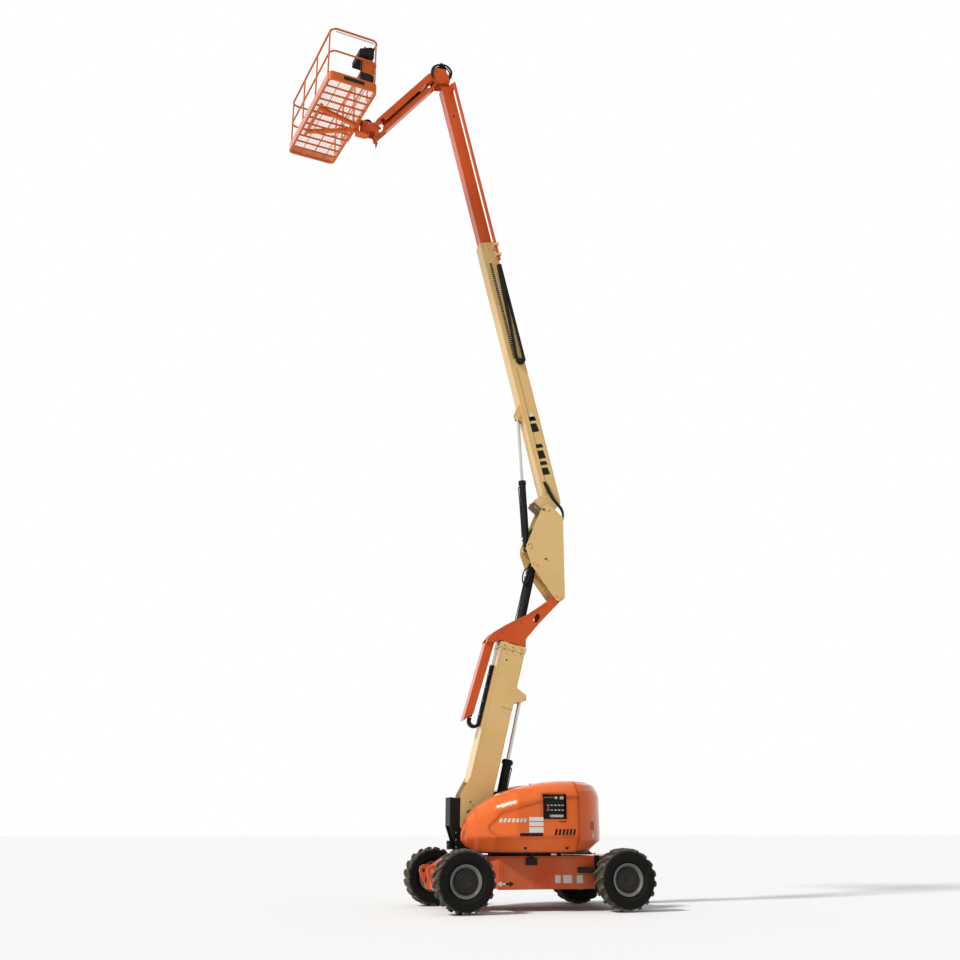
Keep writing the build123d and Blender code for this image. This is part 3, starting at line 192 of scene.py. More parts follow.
tone_mix = add_node(weathering, "ShaderNodeMixRGB", {
    "Fac": patch_range.outputs["Result"], "Color1": g_in.outputs["Tone"], "Color2": g_in.outputs["Faded Tone"]})
run_dust = add_node(weathering, "ShaderNodeMath", {0: run_mask.outputs["Result"], 1: g_in.outputs["Dust"]},
                    operation="MULTIPLY", use_clamp=True)
run_mix = add_node(weathering, "ShaderNodeMixRGB", {
    "Fac": run_dust.outputs["Value"], "Color1": tone_mix.outputs["Color"], "Color2": g_in.outputs["Dust Tone"]})
axes = add_node(weathering, "ShaderNodeSeparateXYZ", {"Vector": spot})
low_down = add_node(weathering, "ShaderNodeMapRange", {
    "Value": axes.outputs["Z"], "From Min": 0.0, "From Max": g_in.outputs["Dust Reach"],
    "To Min": 1.0, "To Max": 0.10})
dust_spots = add_node(weathering, "ShaderNodeMath", {0: low_down.outputs["Result"], 1: patch_range.outputs["Result"]},
                      operation="MULTIPLY")
dust_amount = add_node(weathering, "ShaderNodeMath", {0: dust_spots.outputs["Value"], 1: g_in.outputs["Dust"]},
                       operation="MULTIPLY", use_clamp=True)
dust_mix = add_node(weathering, "ShaderNodeMixRGB", {
    "Fac": dust_amount.outputs["Value"], "Color1": run_mix.outputs["Color"], "Color2": g_in.outputs["Dust Tone"]})
rough_dust = add_node(weathering, "ShaderNodeMath", {
    0: dust_amount.outputs["Value"], 1: 0.5, 2: g_in.outputs["Roughness"]}, operation="MULTIPLY_ADD", use_clamp=True)
rough_grain = add_node(weathering, "ShaderNodeMath", {
    0: grain.outputs["Fac"], 1: 0.12, 2: rough_dust.outputs["Value"]}, operation="MULTIPLY_ADD", use_clamp=True)
feed(weathering, g_out, {
    "Color": dust_mix.outputs["Color"], "Roughness": rough_grain.outputs["Value"], "Height": grain.outputs["Fac"]})


def weathered(name, tone, faded, roughness, dust=0.3, reach=1.2, grain_scale=60.0, bump=0.02, metallic=0.0,
              patch_scale=1.5, dust_tone=DUST):
    """Painted or bare surface with the weathering group; returns the material, its tree and its shader."""
    material, tree, shader = new_material(name)
    group = add_node(tree, "ShaderNodeGroup", {
        "Tone": tone, "Faded Tone": faded, "Dust Tone": dust_tone, "Dust": dust, "Dust Reach": reach,
        "Patch Scale": patch_scale, "Grain Scale": grain_scale, "Roughness": roughness}, node_tree=weathering)
    bumps = add_node(tree, "ShaderNodeBump", {
        "Strength": bump, "Distance": 0.02, "Height": group.outputs["Height"]})
    feed(tree, shader, {
        "Base Color": group.outputs["Color"], "Roughness": group.outputs["Roughness"],
        "Normal": bumps.outputs["Normal"], "Metallic": metallic})
    return material, tree, shader


def glaze(tree, shader, roughness=0.14, facing=0.10, grazing=0.9):
    """Clear gloss that shows mostly where the surface is seen at a slant."""
    slant = add_node(tree, "ShaderNodeLayerWeight", {"Blend": 0.5})
    amount = add_node(tree, "ShaderNodeMapRange", {
        "Value": slant.outputs["Facing"], "From Min": 0.45, "From Max": 0.85, "To Min": facing, "To Max": grazing})
    feed(tree, shader, {
        "Coat Weight": amount.outputs["Result"], "Coat Roughness": roughness, "Specular IOR Level": 0.10})


def dress(material, *nodes):
    """Gives CAD nodes a material in place of their plain one."""
    for node in nodes:
        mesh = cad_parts[node].data
        mesh.materials.clear()
        mesh.materials.append(material)


def keep_piece(mesh, name, material, body, smooth=False):
    """Mesh-building data into an object that rides on a body."""
    data = bpy.data.meshes.new(name)
    bmesh.ops.recalc_face_normals(mesh, faces=mesh.faces)
    mesh.to_mesh(data)
    mesh.free()
    data.materials.append(material)
    for face in data.polygons:
        face.use_smooth = smooth
    piece = bpy.data.objects.new(name, data)
    scene.collection.objects.link(piece)
    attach(piece, body)
    return piece


def add_block(mesh, low, high, turn=None, bevel=0.0):
    """Box between two corners, its edges chamfered by bevel, then placed by the matrix turn."""
    low, high = Vector(low), Vector(high)
    centre, half = (low + high) / 2, (high - low) / 2
    corners = {}
    for sx in (-1, 1):
        for sy in (-1, 1):
            for sz in (-1, 1):
                for axis in range(3):
                    shrink = Vector((bevel, bevel, bevel))
                    shrink[axis] = 0.0
                    signs = Vector((sx, sy, sz))
                    point = centre + Vector(s * (h - b) for s, h, b in zip(signs, half, shrink))
                    corners[sx, sy, sz, axis] = point if turn is None else turn @ point
    if not bevel:
        made = {key[:3]: mesh.verts.new(point) for key, point in corners.items() if key[3] == 0}
        corners = {key: made[key[:3]] for key in corners}
    else:
        corners = {key: mesh.verts.new(point) for key, point in corners.items()}
    around = ((-1, -1), (1, -1), (1, 1), (-1, 1))
    for axis in range(3):
        for s in (-1, 1):
            keys = [tuple(list(pair[:axis]) + [s] + list(pair[axis:])) for pair in around]
            mesh.faces.new([corners[(*key, axis)] for key in keys])
    if not bevel:
        return
    for axis in range(3):
        first, second = [k for k in range(3) if k != axis]
        for s, t in around:
            ends = []
            for e in (-1, 1):
                key = [0, 0, 0]
                key[first], key[second], key[axis] = s, t, e
                ends.append((corners[(*key, first)], corners[(*key, second)]))
            mesh.faces.new((ends[0][0], ends[0][1], ends[1][1], ends[1][0]))
    for sx in (-1, 1):
        for sy in (-1, 1):
            for sz in (-1, 1):
                mesh.faces.new([corners[sx, sy, sz, axis] for axis in range(3)])


def add_side_block(mesh, side, x, y, z, turn=None, bevel=0.0):
    """Block on one side of the machine; x, y and z each give from and to, y counted outwards."""
    low, high = sorted((side * y[0], side * y[1]))
    add_block(mesh, (x[0], low, z[0]), (x[1], high, z[1]), turn, bevel)


def add_round(mesh, start, end, radius, sides=16, end_radius=None):
    """Round bar or cone between two points."""
    start, end = Vector(start), Vector(end)
    turn = Vector((0, 0, 1)).rotation_difference(end - start).to_matrix()
    rings = []
    for at, r in ((start, radius), (end, radius if end_radius is None else end_radius)):
        spokes = (2 * math.pi * i / sides for i in range(sides))
        rings.append([mesh.verts.new(at + turn @ Vector((r * math.cos(a), r * math.sin(a), 0))) for a in spokes])
    for i in range(sides):
        j = (i + 1) % sides
        mesh.faces.new((rings[0][i], rings[0][j], rings[1][j], rings[1][i]))
    mesh.faces.new(rings[0])
    mesh.faces.new(rings[1])


def add_bolt(mesh, seat, outward, size=0.02):
    """Hexagon bolt on a washer, seated on a face that looks outward."""
    seat, outward = Vector(seat), Vector(outward).normalized()
    add_round(mesh, seat - outward * 0.002, seat + outward * size * 0.12, size * 1.05, 14)
    add_round(mesh, seat, seat + outward * size * 0.7, size * 0.82, 6, size * 0.76)


def add_bead(mesh, start, end, size=0.006):
    """Weld bead: a low ridge of overlapping ripples between two points."""
    start, end = Vector(start), Vector(end)
    steps = max(2, int((end - start).length / (size * 2.2)))
    step = (end - start) / steps
    for i in range(steps):
        add_round(mesh, start + step * i, start + step * (i + 1.1), size * 1.25, 6, size * 0.9)


def add_sheet(mesh, outline, thickness, outward):
    """Flat plate with a corner outline, thickened along a direction."""
    step = Vector(outward).normalized() * thickness
    back = [mesh.verts.new(Vector(point)) for point in outline]
    front = [mesh.verts.new(Vector(point) + step) for point in outline]
    mesh.faces.new(back)
    mesh.faces.new(front)
    for i in range(len(outline)):
        j = (i + 1) % len(outline)
        mesh.faces.new((back[i], back[j], front[j], front[i]))


def add_hose(name, points, radius, body, material):
    """Fixed hose or pipe: a round line through its points."""
    line = bpy.data.curves.new(name, "CURVE")
    line.dimensions = "3D"
    line.bevel_depth = radius
    line.bevel_resolution = 3
    line.use_fill_caps = True
    spline = line.splines.new("NURBS")
    spline.points.add(len(points) - 1)
    for knot, point in zip(spline.points, points):
        knot.co = (*point, 1.0)
    spline.order_u = 3
    spline.use_endpoint_u = True
    spline.resolution_u = 6
    line.materials.append(material)
    piece = bpy.data.objects.new(name, line)
    scene.collection.objects.link(piece)
    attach(piece, body)
    return piece


# paint for the frame, its axles and its welds: orange darkened with painted shade
orange_paint, tree, shader = weathered("orange_paint", ORANGE_WITH_PAINTED_SHADE, ORANGE_FADED_WITH_PAINTED_SHADE, 0.34, dust=0.4, reach=1.0)
glaze(tree, shader, roughness=0.25, grazing=0.6)
dress(orange_paint, "chassis_frame", "rear_axle", "front_axle")
black_paint, tree, shader = weathered("black_paint", (0.007, 0.007, 0.007, 1), (0.012, 0.012, 0.011, 1), 0.42,
                                      dust=0.06)
shader.inputs["Specular IOR Level"].default_value = 0.12
bare_plate, tree, shader = weathered("bare_plate", (0.52, 0.51, 0.48, 1), (0.60, 0.59, 0.56, 1), 0.42)
white_mark, tree, shader = weathered("white_mark", (0.68, 0.67, 0.64, 1), (0.60, 0.59, 0.56, 1), 0.4)
hose_rubber, tree, shader = weathered("hose_rubber", (0.006, 0.006, 0.006, 1), (0.012, 0.012, 0.012, 1), 0.55,
                                      dust=0.05, grain_scale=140.0, bump=0.05)
shader.inputs["Specular IOR Level"].default_value = 0.15
zinc, tree, shader = weathered("zinc_bolts", (0.20, 0.19, 0.17, 1), (0.13, 0.12, 0.10, 1), 0.45, metallic=0.8)

FRAME_SIDE_Y = 0.720
FRAME_LOW, FRAME_HIGH = 0.310, 0.780
FRAME_TAIL_X = -2.790
plates = bmesh.new()
# blank plates on the frame's side: x from, x to, z from, z to
SIDE_PLATES = ((-1.583, -1.497, 0.397, 0.510), (-1.763, -1.623, 0.395, 0.509), (-1.939, -1.842, 0.393, 0.507))
for x0, x1, z0, z1 in SIDE_PLATES:
    for side in (-1, 1):
        add_side_block(plates, side, (x0, x1), (FRAME_SIDE_Y, FRAME_SIDE_Y + 0.002), (z0, z1), bevel=0.0008)
keep_piece(plates, "frame_blank_plates", bare_plate, "chassis")

ARROW_Z = 0.392
ARROW_MID_X = -0.722
# arrow: label, material, the way it points (+1 forward, -1 back)
for label, material, toward in (("front", white_mark, 1), ("back", black_paint, -1)):
    arrow = bmesh.new()
    for side in (-1, 1):
        y = side * FRAME_SIDE_Y
        shape = ((0, -0.014), (0.062, -0.014), (0.062, -0.042), (0.131, 0),
                 (0.062, 0.042), (0.062, 0.014), (0, 0.014))
        outline = [(ARROW_MID_X + toward * dx, y, ARROW_Z + dz) for dx, dz in shape]
        add_sheet(arrow, outline, 0.0015, (0, side, 0))
    keep_piece(arrow, f"drive_arrow_{label}", material, "chassis")

lock = bmesh.new()
add_block(lock, (-1.200, 0.715, 0.654), (-1.044, 0.790, 0.752), bevel=0.006)
add_round(lock, (-1.120, 0.760, 0.745), (-1.120, 0.760, 0.800), 0.022)
for x in (-1.180, -1.064):
    add_bolt(lock, (x, 0.790, 0.675), (0, 1, 0), 0.011)
keep_piece(lock, "turntable_lock", black_paint, "chassis")

frame_welds = bmesh.new()
for side in (-1, 1):
    y = side * FRAME_SIDE_Y
    add_bead(frame_welds, (-0.63, y, FRAME_HIGH - 0.022), (FRAME_TAIL_X + 0.13, y, FRAME_HIGH - 0.022), 0.005)
    for x in (-1.800, -0.680):
        add_bead(frame_welds, (x, y, FRAME_LOW + 0.04), (x, y, FRAME_HIGH - 0.04), 0.0035)
    for y_lug in (0.265, 0.300):
        add_bead(frame_welds, (0.217, side * y_lug, 0.30), (0.217, side * y_lug, 0.62), 0.006)
        add_bead(frame_welds, (FRAME_TAIL_X - 0.002, side * y_lug, 0.39), (FRAME_TAIL_X - 0.002, side * y_lug, 0.61),
                 0.006)
keep_piece(frame_welds, "frame_welds", orange_paint, "chassis")

tail_fittings = bmesh.new()
for side in (-1, 1):
    add_round(tail_fittings, (-1.860, side * 0.722, 0.580), (-2.080, side * 0.790, 0.575), 0.040, 20)
    add_round(tail_fittings, (-2.060, side * 0.784, 0.575), (-2.135, side * 0.806, 0.573), 0.024, 16)
    add_side_block(tail_fittings, side, (-2.205, -2.128), (0.718, 0.742), (0.300, 0.790), bevel=0.004)
    for z in (0.36, 0.52, 0.70):
        add_bolt(tail_fittings, (-2.166, side * 0.742, z), (0, side, 0), 0.012)
keep_piece(tail_fittings, "tail_fittings", black_paint, "chassis")

# hoses from the frame to the four drive motors
WHEELBASE = 2.480
for name, x, side in (("fl", 0.0, 1), ("fr", 0.0, -1), ("rl", -WHEELBASE, 1), ("rr", -WHEELBASE, -1)):
    inboard = -0.22 if x == 0.0 else 0.24
    for k in (0, 1):
        add_hose(f"drive_hose_{name}_{k}", [
            (x + inboard, side * 0.45, 0.56 - 0.02 * k),
            (x + inboard * 0.8, side * 0.56, 0.60 - 0.02 * k),
            (x + inboard * 0.6, side * 0.68, 0.58 - 0.03 * k),
            (x + inboard * 0.35, side * 0.74, 0.53 - 0.03 * k),
        ], 0.011, "chassis", hose_rubber)

# Wheels: black all-terrain tyres with deep bar lugs on steel rims. The lugs' faces carry grey road dust, the
# walls stay black. Each rim shows a worn pale lip round a black drive hub with nine nuts.
RUBBER = (0.006, 0.006, 0.006, 1)
RUBBER_DUSTY = (0.15, 0.13, 0.10, 1)
TYRE_RADIUS = 0.449
CARCASS_RADIUS = 0.420
TYRE_HALF = 0.1715
WHEEL_Y = 1.0725
AXLE_Z = 0.450
# wheel: name, x, side
WHEELS = (("front_left", 0.0, 1), ("front_right", 0.0, -1),
          ("rear_left", -WHEELBASE, 1), ("rear_right", -WHEELBASE, -1))
LUGS = 18
NUTS = 9
NUT_CIRCLE = 0.128
HUB_FACE = 0.132
VALVE_TURN = 0.7


def tyre_rubber(name, x):
    """Rubber whose dust grows with the distance from the axle, for the axle at x."""
    material, tree, shader = new_material(name)
    spot = add_node(tree, "ShaderNodeTexCoord", {}).outputs["Object"]
    from_axle = add_node(tree, "ShaderNodeVectorMath", {0: spot, 1: (x, 0, TYRE_RADIUS)}, operation="SUBTRACT")
    flat = add_node(tree, "ShaderNodeVectorMath", {0: from_axle.outputs["Vector"], 1: (1, 0, 1)},
                    operation="MULTIPLY")
    reach = add_node(tree, "ShaderNodeVectorMath", {0: flat.outputs["Vector"]}, operation="LENGTH")
    tread = add_node(tree, "ShaderNodeMapRange", {
        "Value": reach.outputs["Value"], "From Min": 0.392, "From Max": 0.436})
    noise = add_node(tree, "ShaderNodeTexNoise", {"Scale": 26.0, "Detail": 6.0, "Vector": spot})
    clumps = add_node(tree, "ShaderNodeMapRange", {
        "Value": noise.outputs["Fac"], "From Min": 0.38, "From Max": 0.62, "To Min": 0.25})
    caked = add_node(tree, "ShaderNodeMath", {0: tread.outputs["Result"], 1: clumps.outputs["Result"]},
                     operation="MULTIPLY", use_clamp=True)
    film = add_node(tree, "ShaderNodeMath", {0: noise.outputs["Fac"], 1: 0.03, 2: caked.outputs["Value"]},
                    operation="MULTIPLY_ADD", use_clamp=True)
    tones = add_node(tree, "ShaderNodeMixRGB", {
        "Fac": film.outputs["Value"], "Color1": RUBBER, "Color2": RUBBER_DUSTY})
    fine = add_node(tree, "ShaderNodeTexNoise", {"Scale": 70.0, "Vector": spot})
    bumps = add_node(tree, "ShaderNodeBump", {"Strength": 0.25, "Distance": 0.01, "Height": fine.outputs["Fac"]})
    feed(tree, shader, {
        "Base Color": tones.outputs["Color"], "Roughness": 0.78, "Specular IOR Level": 0.10,
        "Normal": bumps.outputs["Normal"]})
    return material


def spin_profile(mesh, profile, hub, side, steps):
    """Turns a closed (radius, out) profile about a wheel's axle."""
    rings = []
    for i in range(steps):
        turn = 2 * math.pi * i / steps
        ring = [mesh.verts.new((hub.x + r * math.cos(turn), hub.y + side * out, hub.z + r * math.sin(turn)))
                for r, out in profile]
        rings.append(ring)
    count = len(profile)
    for i in range(steps):
        here, there = rings[i], rings[(i + 1) % steps]
        for k in range(count):
            m = (k + 1) % count
            mesh.faces.new((here[k], here[m], there[m], there[k]))


def add_lug(mesh, hub, side, turn, row):
    """One tread bar: wide at the shoulder, narrower at the middle, slanted, with a leaning flank."""
    slant = math.radians(24) * row
    inner, outer = 0.006, TYRE_HALF - 0.002
    # along the tyre's width: distance from the middle, half length at the foot, half length at the top, height
    stations = ((inner, 0.020, 0.014, TYRE_RADIUS - 0.004), (0.085, 0.028, 0.022, TYRE_RADIUS),
                (outer - 0.020, 0.034, 0.027, TYRE_RADIUS - 0.006), (outer, 0.036, 0.030, CARCASS_RADIUS + 0.004),
                (outer + 0.0015, 0.034, 0.029, CARCASS_RADIUS - 0.040))
    rows = []
    for out, foot, top, high in stations:
        shift = math.tan(slant) * (out - 0.085)
        low = min(CARCASS_RADIUS - 0.014, high - 0.012)
        corners = []
        for along, radius in ((shift - foot, low), (shift - top, high), (shift + top, high), (shift + foot, low)):
            angle = turn + along / TYRE_RADIUS
            corners.append(mesh.verts.new((hub.x + radius * math.cos(angle), hub.y + side * row * out,
                                           hub.z + radius * math.sin(angle))))
        rows.append(corners)
    for a, b in zip(rows, rows[1:]):
        for k in range(4):
            m = (k + 1) % 4
            mesh.faces.new((a[k], a[m], b[m], b[k]))
    mesh.faces.new(rows[0])
    mesh.faces.new(rows[-1])


# half of the tyre's section, from the bead out to the crown: radius, distance from the middle
TYRE_SECTION = ((0.2245, 0.104), (0.230, 0.113), (0.246, 0.121), (0.262, 0.136), (0.285, 0.157), (0.300, 0.163),
                (0.304, 0.168), (0.312, 0.168), (0.316, 0.164), (0.345, 0.169), (0.380, 0.169), (0.400, 0.161),
                (0.413, 0.145), (0.419, 0.110), (0.420, 0.050))
rim_paint, tree, shader = weathered("rim_paint", (0.085, 0.085, 0.082, 1), (0.16, 0.155, 0.15, 1), 0.36, dust=0.3,
                                    metallic=0.5)
hub_paint, tree, shader = weathered("hub_paint", (0.006, 0.006, 0.006, 1), (0.011, 0.011, 0.010, 1), 0.42, dust=0.05)
shader.inputs["Specular IOR Level"].default_value = 0.15
rubber_front = tyre_rubber("tyre_rubber_front", 0.0)
rubber_rear = tyre_rubber("tyre_rubber_rear", -WHEELBASE)
for name, x, side in WHEELS:
    rubber = rubber_front if x == 0.0 else rubber_rear
    hub_at = Vector((x, side * WHEEL_Y, AXLE_Z))
    section = list(TYRE_SECTION) + [(r, -out) for r, out in reversed(TYRE_SECTION)]
    tyre = bmesh.new()
    spin_profile(tyre, section, hub_at, side, 72)
    for i in range(LUGS):
        for row in (-1, 1):
            add_lug(tyre, hub_at, side, 2 * math.pi * (i + 0.25 * row) / LUGS, row)
    tyre_piece = keep_piece(tyre, f"dusty_tyre_{name}", rubber, f"wheel_{name}")
    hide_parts(f"tyre_{name}")
    dress(rim_paint, f"rim_{name}")
    face_y = side * (WHEEL_Y + HUB_FACE)
    hub = bmesh.new()
    # drive housing over the hub: radius, distance from the wheel's middle
    housing = ((0.002, 0.1335), (0.060, 0.1335), (0.066, 0.1385), (0.098, 0.1385), (0.104, 0.1335), (0.150, 0.1335),
               (0.174, 0.116), (0.176, 0.060), (0.160, 0.052), (0.002, 0.052))
    spin_profile(hub, housing, hub_at, side, 48)
    keep_piece(hub, f"drive_hub_{name}", hub_paint, f"wheel_{name}")
    nuts = bmesh.new()
    for i in range(NUTS):
        turn = 2 * math.pi * i / NUTS
        seat = (x + NUT_CIRCLE * math.cos(turn), face_y, AXLE_Z + NUT_CIRCLE * math.sin(turn))
        add_bolt(nuts, seat, (0, side, 0), 0.014)
    keep_piece(nuts, f"wheel_nuts_{name}", hub_paint, f"wheel_{name}")
    rim_lip = bmesh.new()
    lip = ((0.180, 0.1020), (0.206, 0.1215), (0.214, 0.1325), (0.233, 0.1325), (0.2352, 0.1300), (0.2352, 0.1285),
           (0.216, 0.1265), (0.180, 0.0990))
    spin_profile(rim_lip, lip, hub_at, side, 72)
    # the valve's foot and tip: radius, distance from the wheel's middle
    valve = [(x + r * math.cos(VALVE_TURN), hub_at.y + side * out, AXLE_Z + r * math.sin(VALVE_TURN))
             for r, out in ((0.200, 0.085), (0.202, 0.126))]
    add_round(rim_lip, *valve, 0.004, 8)
    keep_piece(rim_lip, f"rim_lip_{name}", rim_paint, f"wheel_{name}")

# Steering: cast iron knuckles and a steel tie rod behind the axle, painted black. Each knuckle turns on a
# kingpin that a zinc-plated cap with a grease nipple closes on top.
dress(black_paint, "steer_knuckle_left", "steer_knuckle_right", "tie_rod")
KINGPIN_Y = 0.790
for name, side in (("left", 1), ("right", -1)):
    caps = bmesh.new()
    pin_top = AXLE_Z + 0.078 + 0.010
    add_round(caps, (0, side * KINGPIN_Y, pin_top - 0.004), (0, side * KINGPIN_Y, pin_top + 0.008), 0.030, 20)
    add_round(caps, (0, side * KINGPIN_Y, pin_top + 0.008), (0, side * KINGPIN_Y, pin_top + 0.018), 0.006, 8)
    keep_piece(caps, f"kingpin_cap_{name}", zinc, f"steer_{name}")

# Slew bearing: a forged steel ring with teeth cut round its outside, greasy and dark. A circle of bolts holds
# it to the frame's top.
bearing_steel, tree, shader = weathered("bearing_steel", (0.10, 0.10, 0.105, 1), (0.06, 0.058, 0.055, 1), 0.45,
                                        metallic=0.6)
dress(bearing_steel, "slew_bearing")
SLEW_X = -1.240
RING_TOP = 0.816
TEETH = 96
RING_BOLTS = 40
RING_BOLT_CIRCLE = 0.515
ring_bolts = bmesh.new()
for i in range(RING_BOLTS):
    turn = 2 * math.pi * i / RING_BOLTS
    seat = (SLEW_X + RING_BOLT_CIRCLE * math.cos(turn), RING_BOLT_CIRCLE * math.sin(turn), RING_TOP - 0.008)
    add_bolt(ring_bolts, seat, (0, 0, 1), 0.012)
keep_piece(ring_bolts, "slew_ring_bolts", zinc, "chassis")
teeth = bmesh.new()
for i in range(TEETH):
    turn = 2 * math.pi * i / TEETH
    spot = Matrix.Translation((SLEW_X, 0, 0)) @ Matrix.Rotation(turn, 4, "Z")
    add_block(teeth, (0.558, -0.0085, 0.782), (0.574, 0.0085, 0.812), turn=spot)
keep_piece(teeth, "slew_ring_teeth", bearing_steel, "chassis")

# Turntable: black steel deck and mast plates that carry the tower's pins. The mast's front plate is bolted on,
# and a small manifold block with its fittings sits at its foot. The engine is one grey cast block.
dress(black_paint, "turntable_frame")
engine_grey, tree, shader = weathered("engine_grey", (0.14, 0.145, 0.15, 1), (0.09, 0.09, 0.09, 1), 0.6, dust=0.3)
dress(engine_grey, "engine_block")
mast_bolts = bmesh.new()
for side in (-1, 1):
    for z in (0.905, 1.010, 1.115):
        add_bolt(mast_bolts, (-0.100, side * 0.155, z), (0, side, 0), 0.015)
for x in (-0.520, -0.640, -0.760, -0.880):
    for side in (-1, 1):
        add_bolt(mast_bolts, (x, side * 0.240, 0.850), (0, 0, 1), 0.014)
keep_piece(mast_bolts, "mast_bolts", zinc, "turntable")
manifold = bmesh.new()
add_block(manifold, (-0.060, -0.070, 0.870), (-0.002, 0.070, 1.000), bevel=0.004)
for y, z in ((-0.045, 0.985), (0.0, 0.985), (0.045, 0.985), (-0.030, 0.930), (0.030, 0.930)):
    add_round(manifold, (-0.004, y, z - 0.02), (0.006, y, z - 0.02), 0.010, 8)
keep_piece(manifold, "swing_manifold", black_paint, "turntable")

lever = bmesh.new()
add_round(lever, (-1.164, 0.740, 0.795), (-1.073, 0.915, 0.835), 0.010)
add_round(lever, (-1.110, 0.850, 0.822), (-1.060, 0.930, 0.838), 0.017)
keep_piece(lever, "lock_lever", black_paint, "turntable")
reflector = bmesh.new()
for side in (-1, 1):
    add_side_block(reflector, side, (-1.464, -1.378), (0.898, 0.908), (0.796, 0.820), bevel=0.002)
keep_piece(reflector, "deck_reflectors", white_mark, "turntable")

# Hoods: glossy moulded covers, orange all through, on steel hinges, each shut by two rotary latches. Faint
# ripples in the moulding bend the reflections. The left one has a window for the ground controls and blank sign
# panels, and the right one breathes through a louvred grille.
HOOD_ORANGE = (0.70, 0.115, 0.014, 1)
HOOD_ORANGE_FADED = (0.74, 0.140, 0.022, 1)
hood_paint, tree, shader = weathered("hood_paint", HOOD_ORANGE, HOOD_ORANGE_FADED, 0.26, dust=0.18, reach=1.3)
glaze(tree, shader, roughness=0.10, facing=0.25, grazing=0.9)


def round_over(tree, shader, radius):
    """Softens the edges of a moulded or cast skin, under its ripples and in its gloss."""
    softened = add_node(tree, "ShaderNodeBevel", {"Radius": radius}, samples=6).outputs["Normal"]
    feed(tree, tree.nodes["Bump"], {"Normal": softened})
    feed(tree, shader, {"Coat Normal": softened})


round_over(tree, shader, 0.08)
dress(hood_paint, "hood_left", "hood_right")


def surface_of(node):
    """Search tree of a CAD node's skin, in the machine's frame."""
    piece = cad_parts[node]
    corners = [piece.matrix_world @ corner.co for corner in piece.data.vertices]
    return BVHTree.FromPolygons(corners, [tuple(face.vertices) for face in piece.data.polygons])


def add_patch(mesh, skin, side, outline, lift=0.002, turn=0.0, steps=6):
    """Thin panel laid on a side's skin: a four-sided outline of (x, z), projected along Y."""
    grid = []
    a, b, c, d = (Vector((x, 0, z)) for x, z in outline)
    for i in range(steps + 1):
        row = []
        for j in range(steps + 1):
            point = a.lerp(b, i / steps).lerp(d.lerp(c, i / steps), j / steps)
            hit = skin.ray_cast(Vector((point.x, side * 3.0, point.z)), Vector((0, -side, 0)))
            y = hit[0].y if hit[0] is not None else side * 1.0
            row.append(mesh.verts.new((point.x, y + side * lift, point.z)))
        grid.append(row)
    for i in range(steps):
        for j in range(steps):
            mesh.faces.new((grid[i][j], grid[i + 1][j], grid[i + 1][j + 1], grid[i][j + 1]))


def rectangle(x0, x1, z0, z1):
    return ((x0, z0), (x1, z0), (x1, z1), (x0, z1))


left_skin = surface_of("hood_left")
right_skin = surface_of("hood_right")
signs = bmesh.new()
# blank sign panels: x from, x to, z from, z to
for x0, x1, z0, z1 in ((-1.205, -0.983, 1.117, 1.194), (-1.205, -0.983, 1.209, 1.265),
                       (-1.205, -0.983, 1.280, 1.336)):
    add_patch(signs, left_skin, 1, rectangle(x0, x1, z0, z1))
keep_piece(signs, "hood_blank_signs", white_mark, "hood_left")
dark_signs = bmesh.new()
add_patch(dark_signs, left_skin, 1, rectangle(-1.195, -0.841, 1.068, 1.110))
# plain slanted bars: first x, z from, z to, count, pitch, width
SLANTED_BARS = ((-1.375, 1.082, 1.168, 6, 0.060, 0.034), (-1.450, 1.262, 1.280, 4, 0.030, 0.018))
for x, z0, z1, count, pitch, width in SLANTED_BARS:
    for i in range(count):
        left = x - i * pitch
        lean = 0.22 * (z1 - z0)
        add_patch(dark_signs, left_skin, 1, ((left - width, z0), (left, z0), (left - lean, z1),
                                             (left - width - lean, z1)), steps=2)
keep_piece(dark_signs, "hood_dark_marks", black_paint, "hood_left")
pale_marks = bmesh.new()
for i in range(7):
    left = -0.560 - i * 0.056
    add_patch(pale_marks, left_skin, 1, ((left - 0.036, 1.262), (left, 1.262), (left - 0.014, 1.318),
                                         (left - 0.050, 1.318)), steps=2)
keep_piece(pale_marks, "hood_pale_marks", bare_plate, "hood_left")

for skin, side, body in ((left_skin, 1, "hood_left"), (right_skin, -1, "hood_right")):
    latches = bmesh.new()
    for x, z in ((-0.95, 0.905), (-1.60, 0.905)):
        hit = skin.ray_cast(Vector((x, side * 3.0, z)), Vector((0, -side, 0)))
        seat = hit[0] if hit[0] is not None else Vector((x, side * 1.0, z))
        add_round(latches, seat - Vector((0, side * 0.004, 0)), seat + Vector((0, side * 0.004, 0)), 0.026, 24)
        out = side * seat.y
        add_side_block(latches, side, (x - 0.018, x + 0.018), (out, out + 0.010), (z - 0.006, z + 0.006), bevel=0.002)
    keep_piece(latches, f"latches_{body}", black_paint, body)
# behind the louvres, a black sheet on the closed skin: painted shade for the dark inside the grille's openings
grille = bmesh.new()
add_patch(grille, right_skin, -1, rectangle(-1.48, -0.92, 1.18, 1.46), lift=0.001)
keep_piece(grille, "hood_grille_painted_shade", hose_rubber, "hood_right")
louvres = bmesh.new()
for i in range(12):
    z = 1.195 + i * 0.0225
    for k in range(8):
        x = -1.48 + 0.07 * k
        hits = [right_skin.ray_cast(Vector((x + dx, -3.0, z)), Vector((0, 1, 0)))[0] for dx in (0.0, 0.07)]
        if None not in hits:
            add_round(louvres, hits[0] - Vector((0, 0.004, 0)), hits[1] - Vector((0, 0.004, 0)), 0.0045, 6)
keep_piece(louvres, "hood_louvres", black_paint, "hood_right")

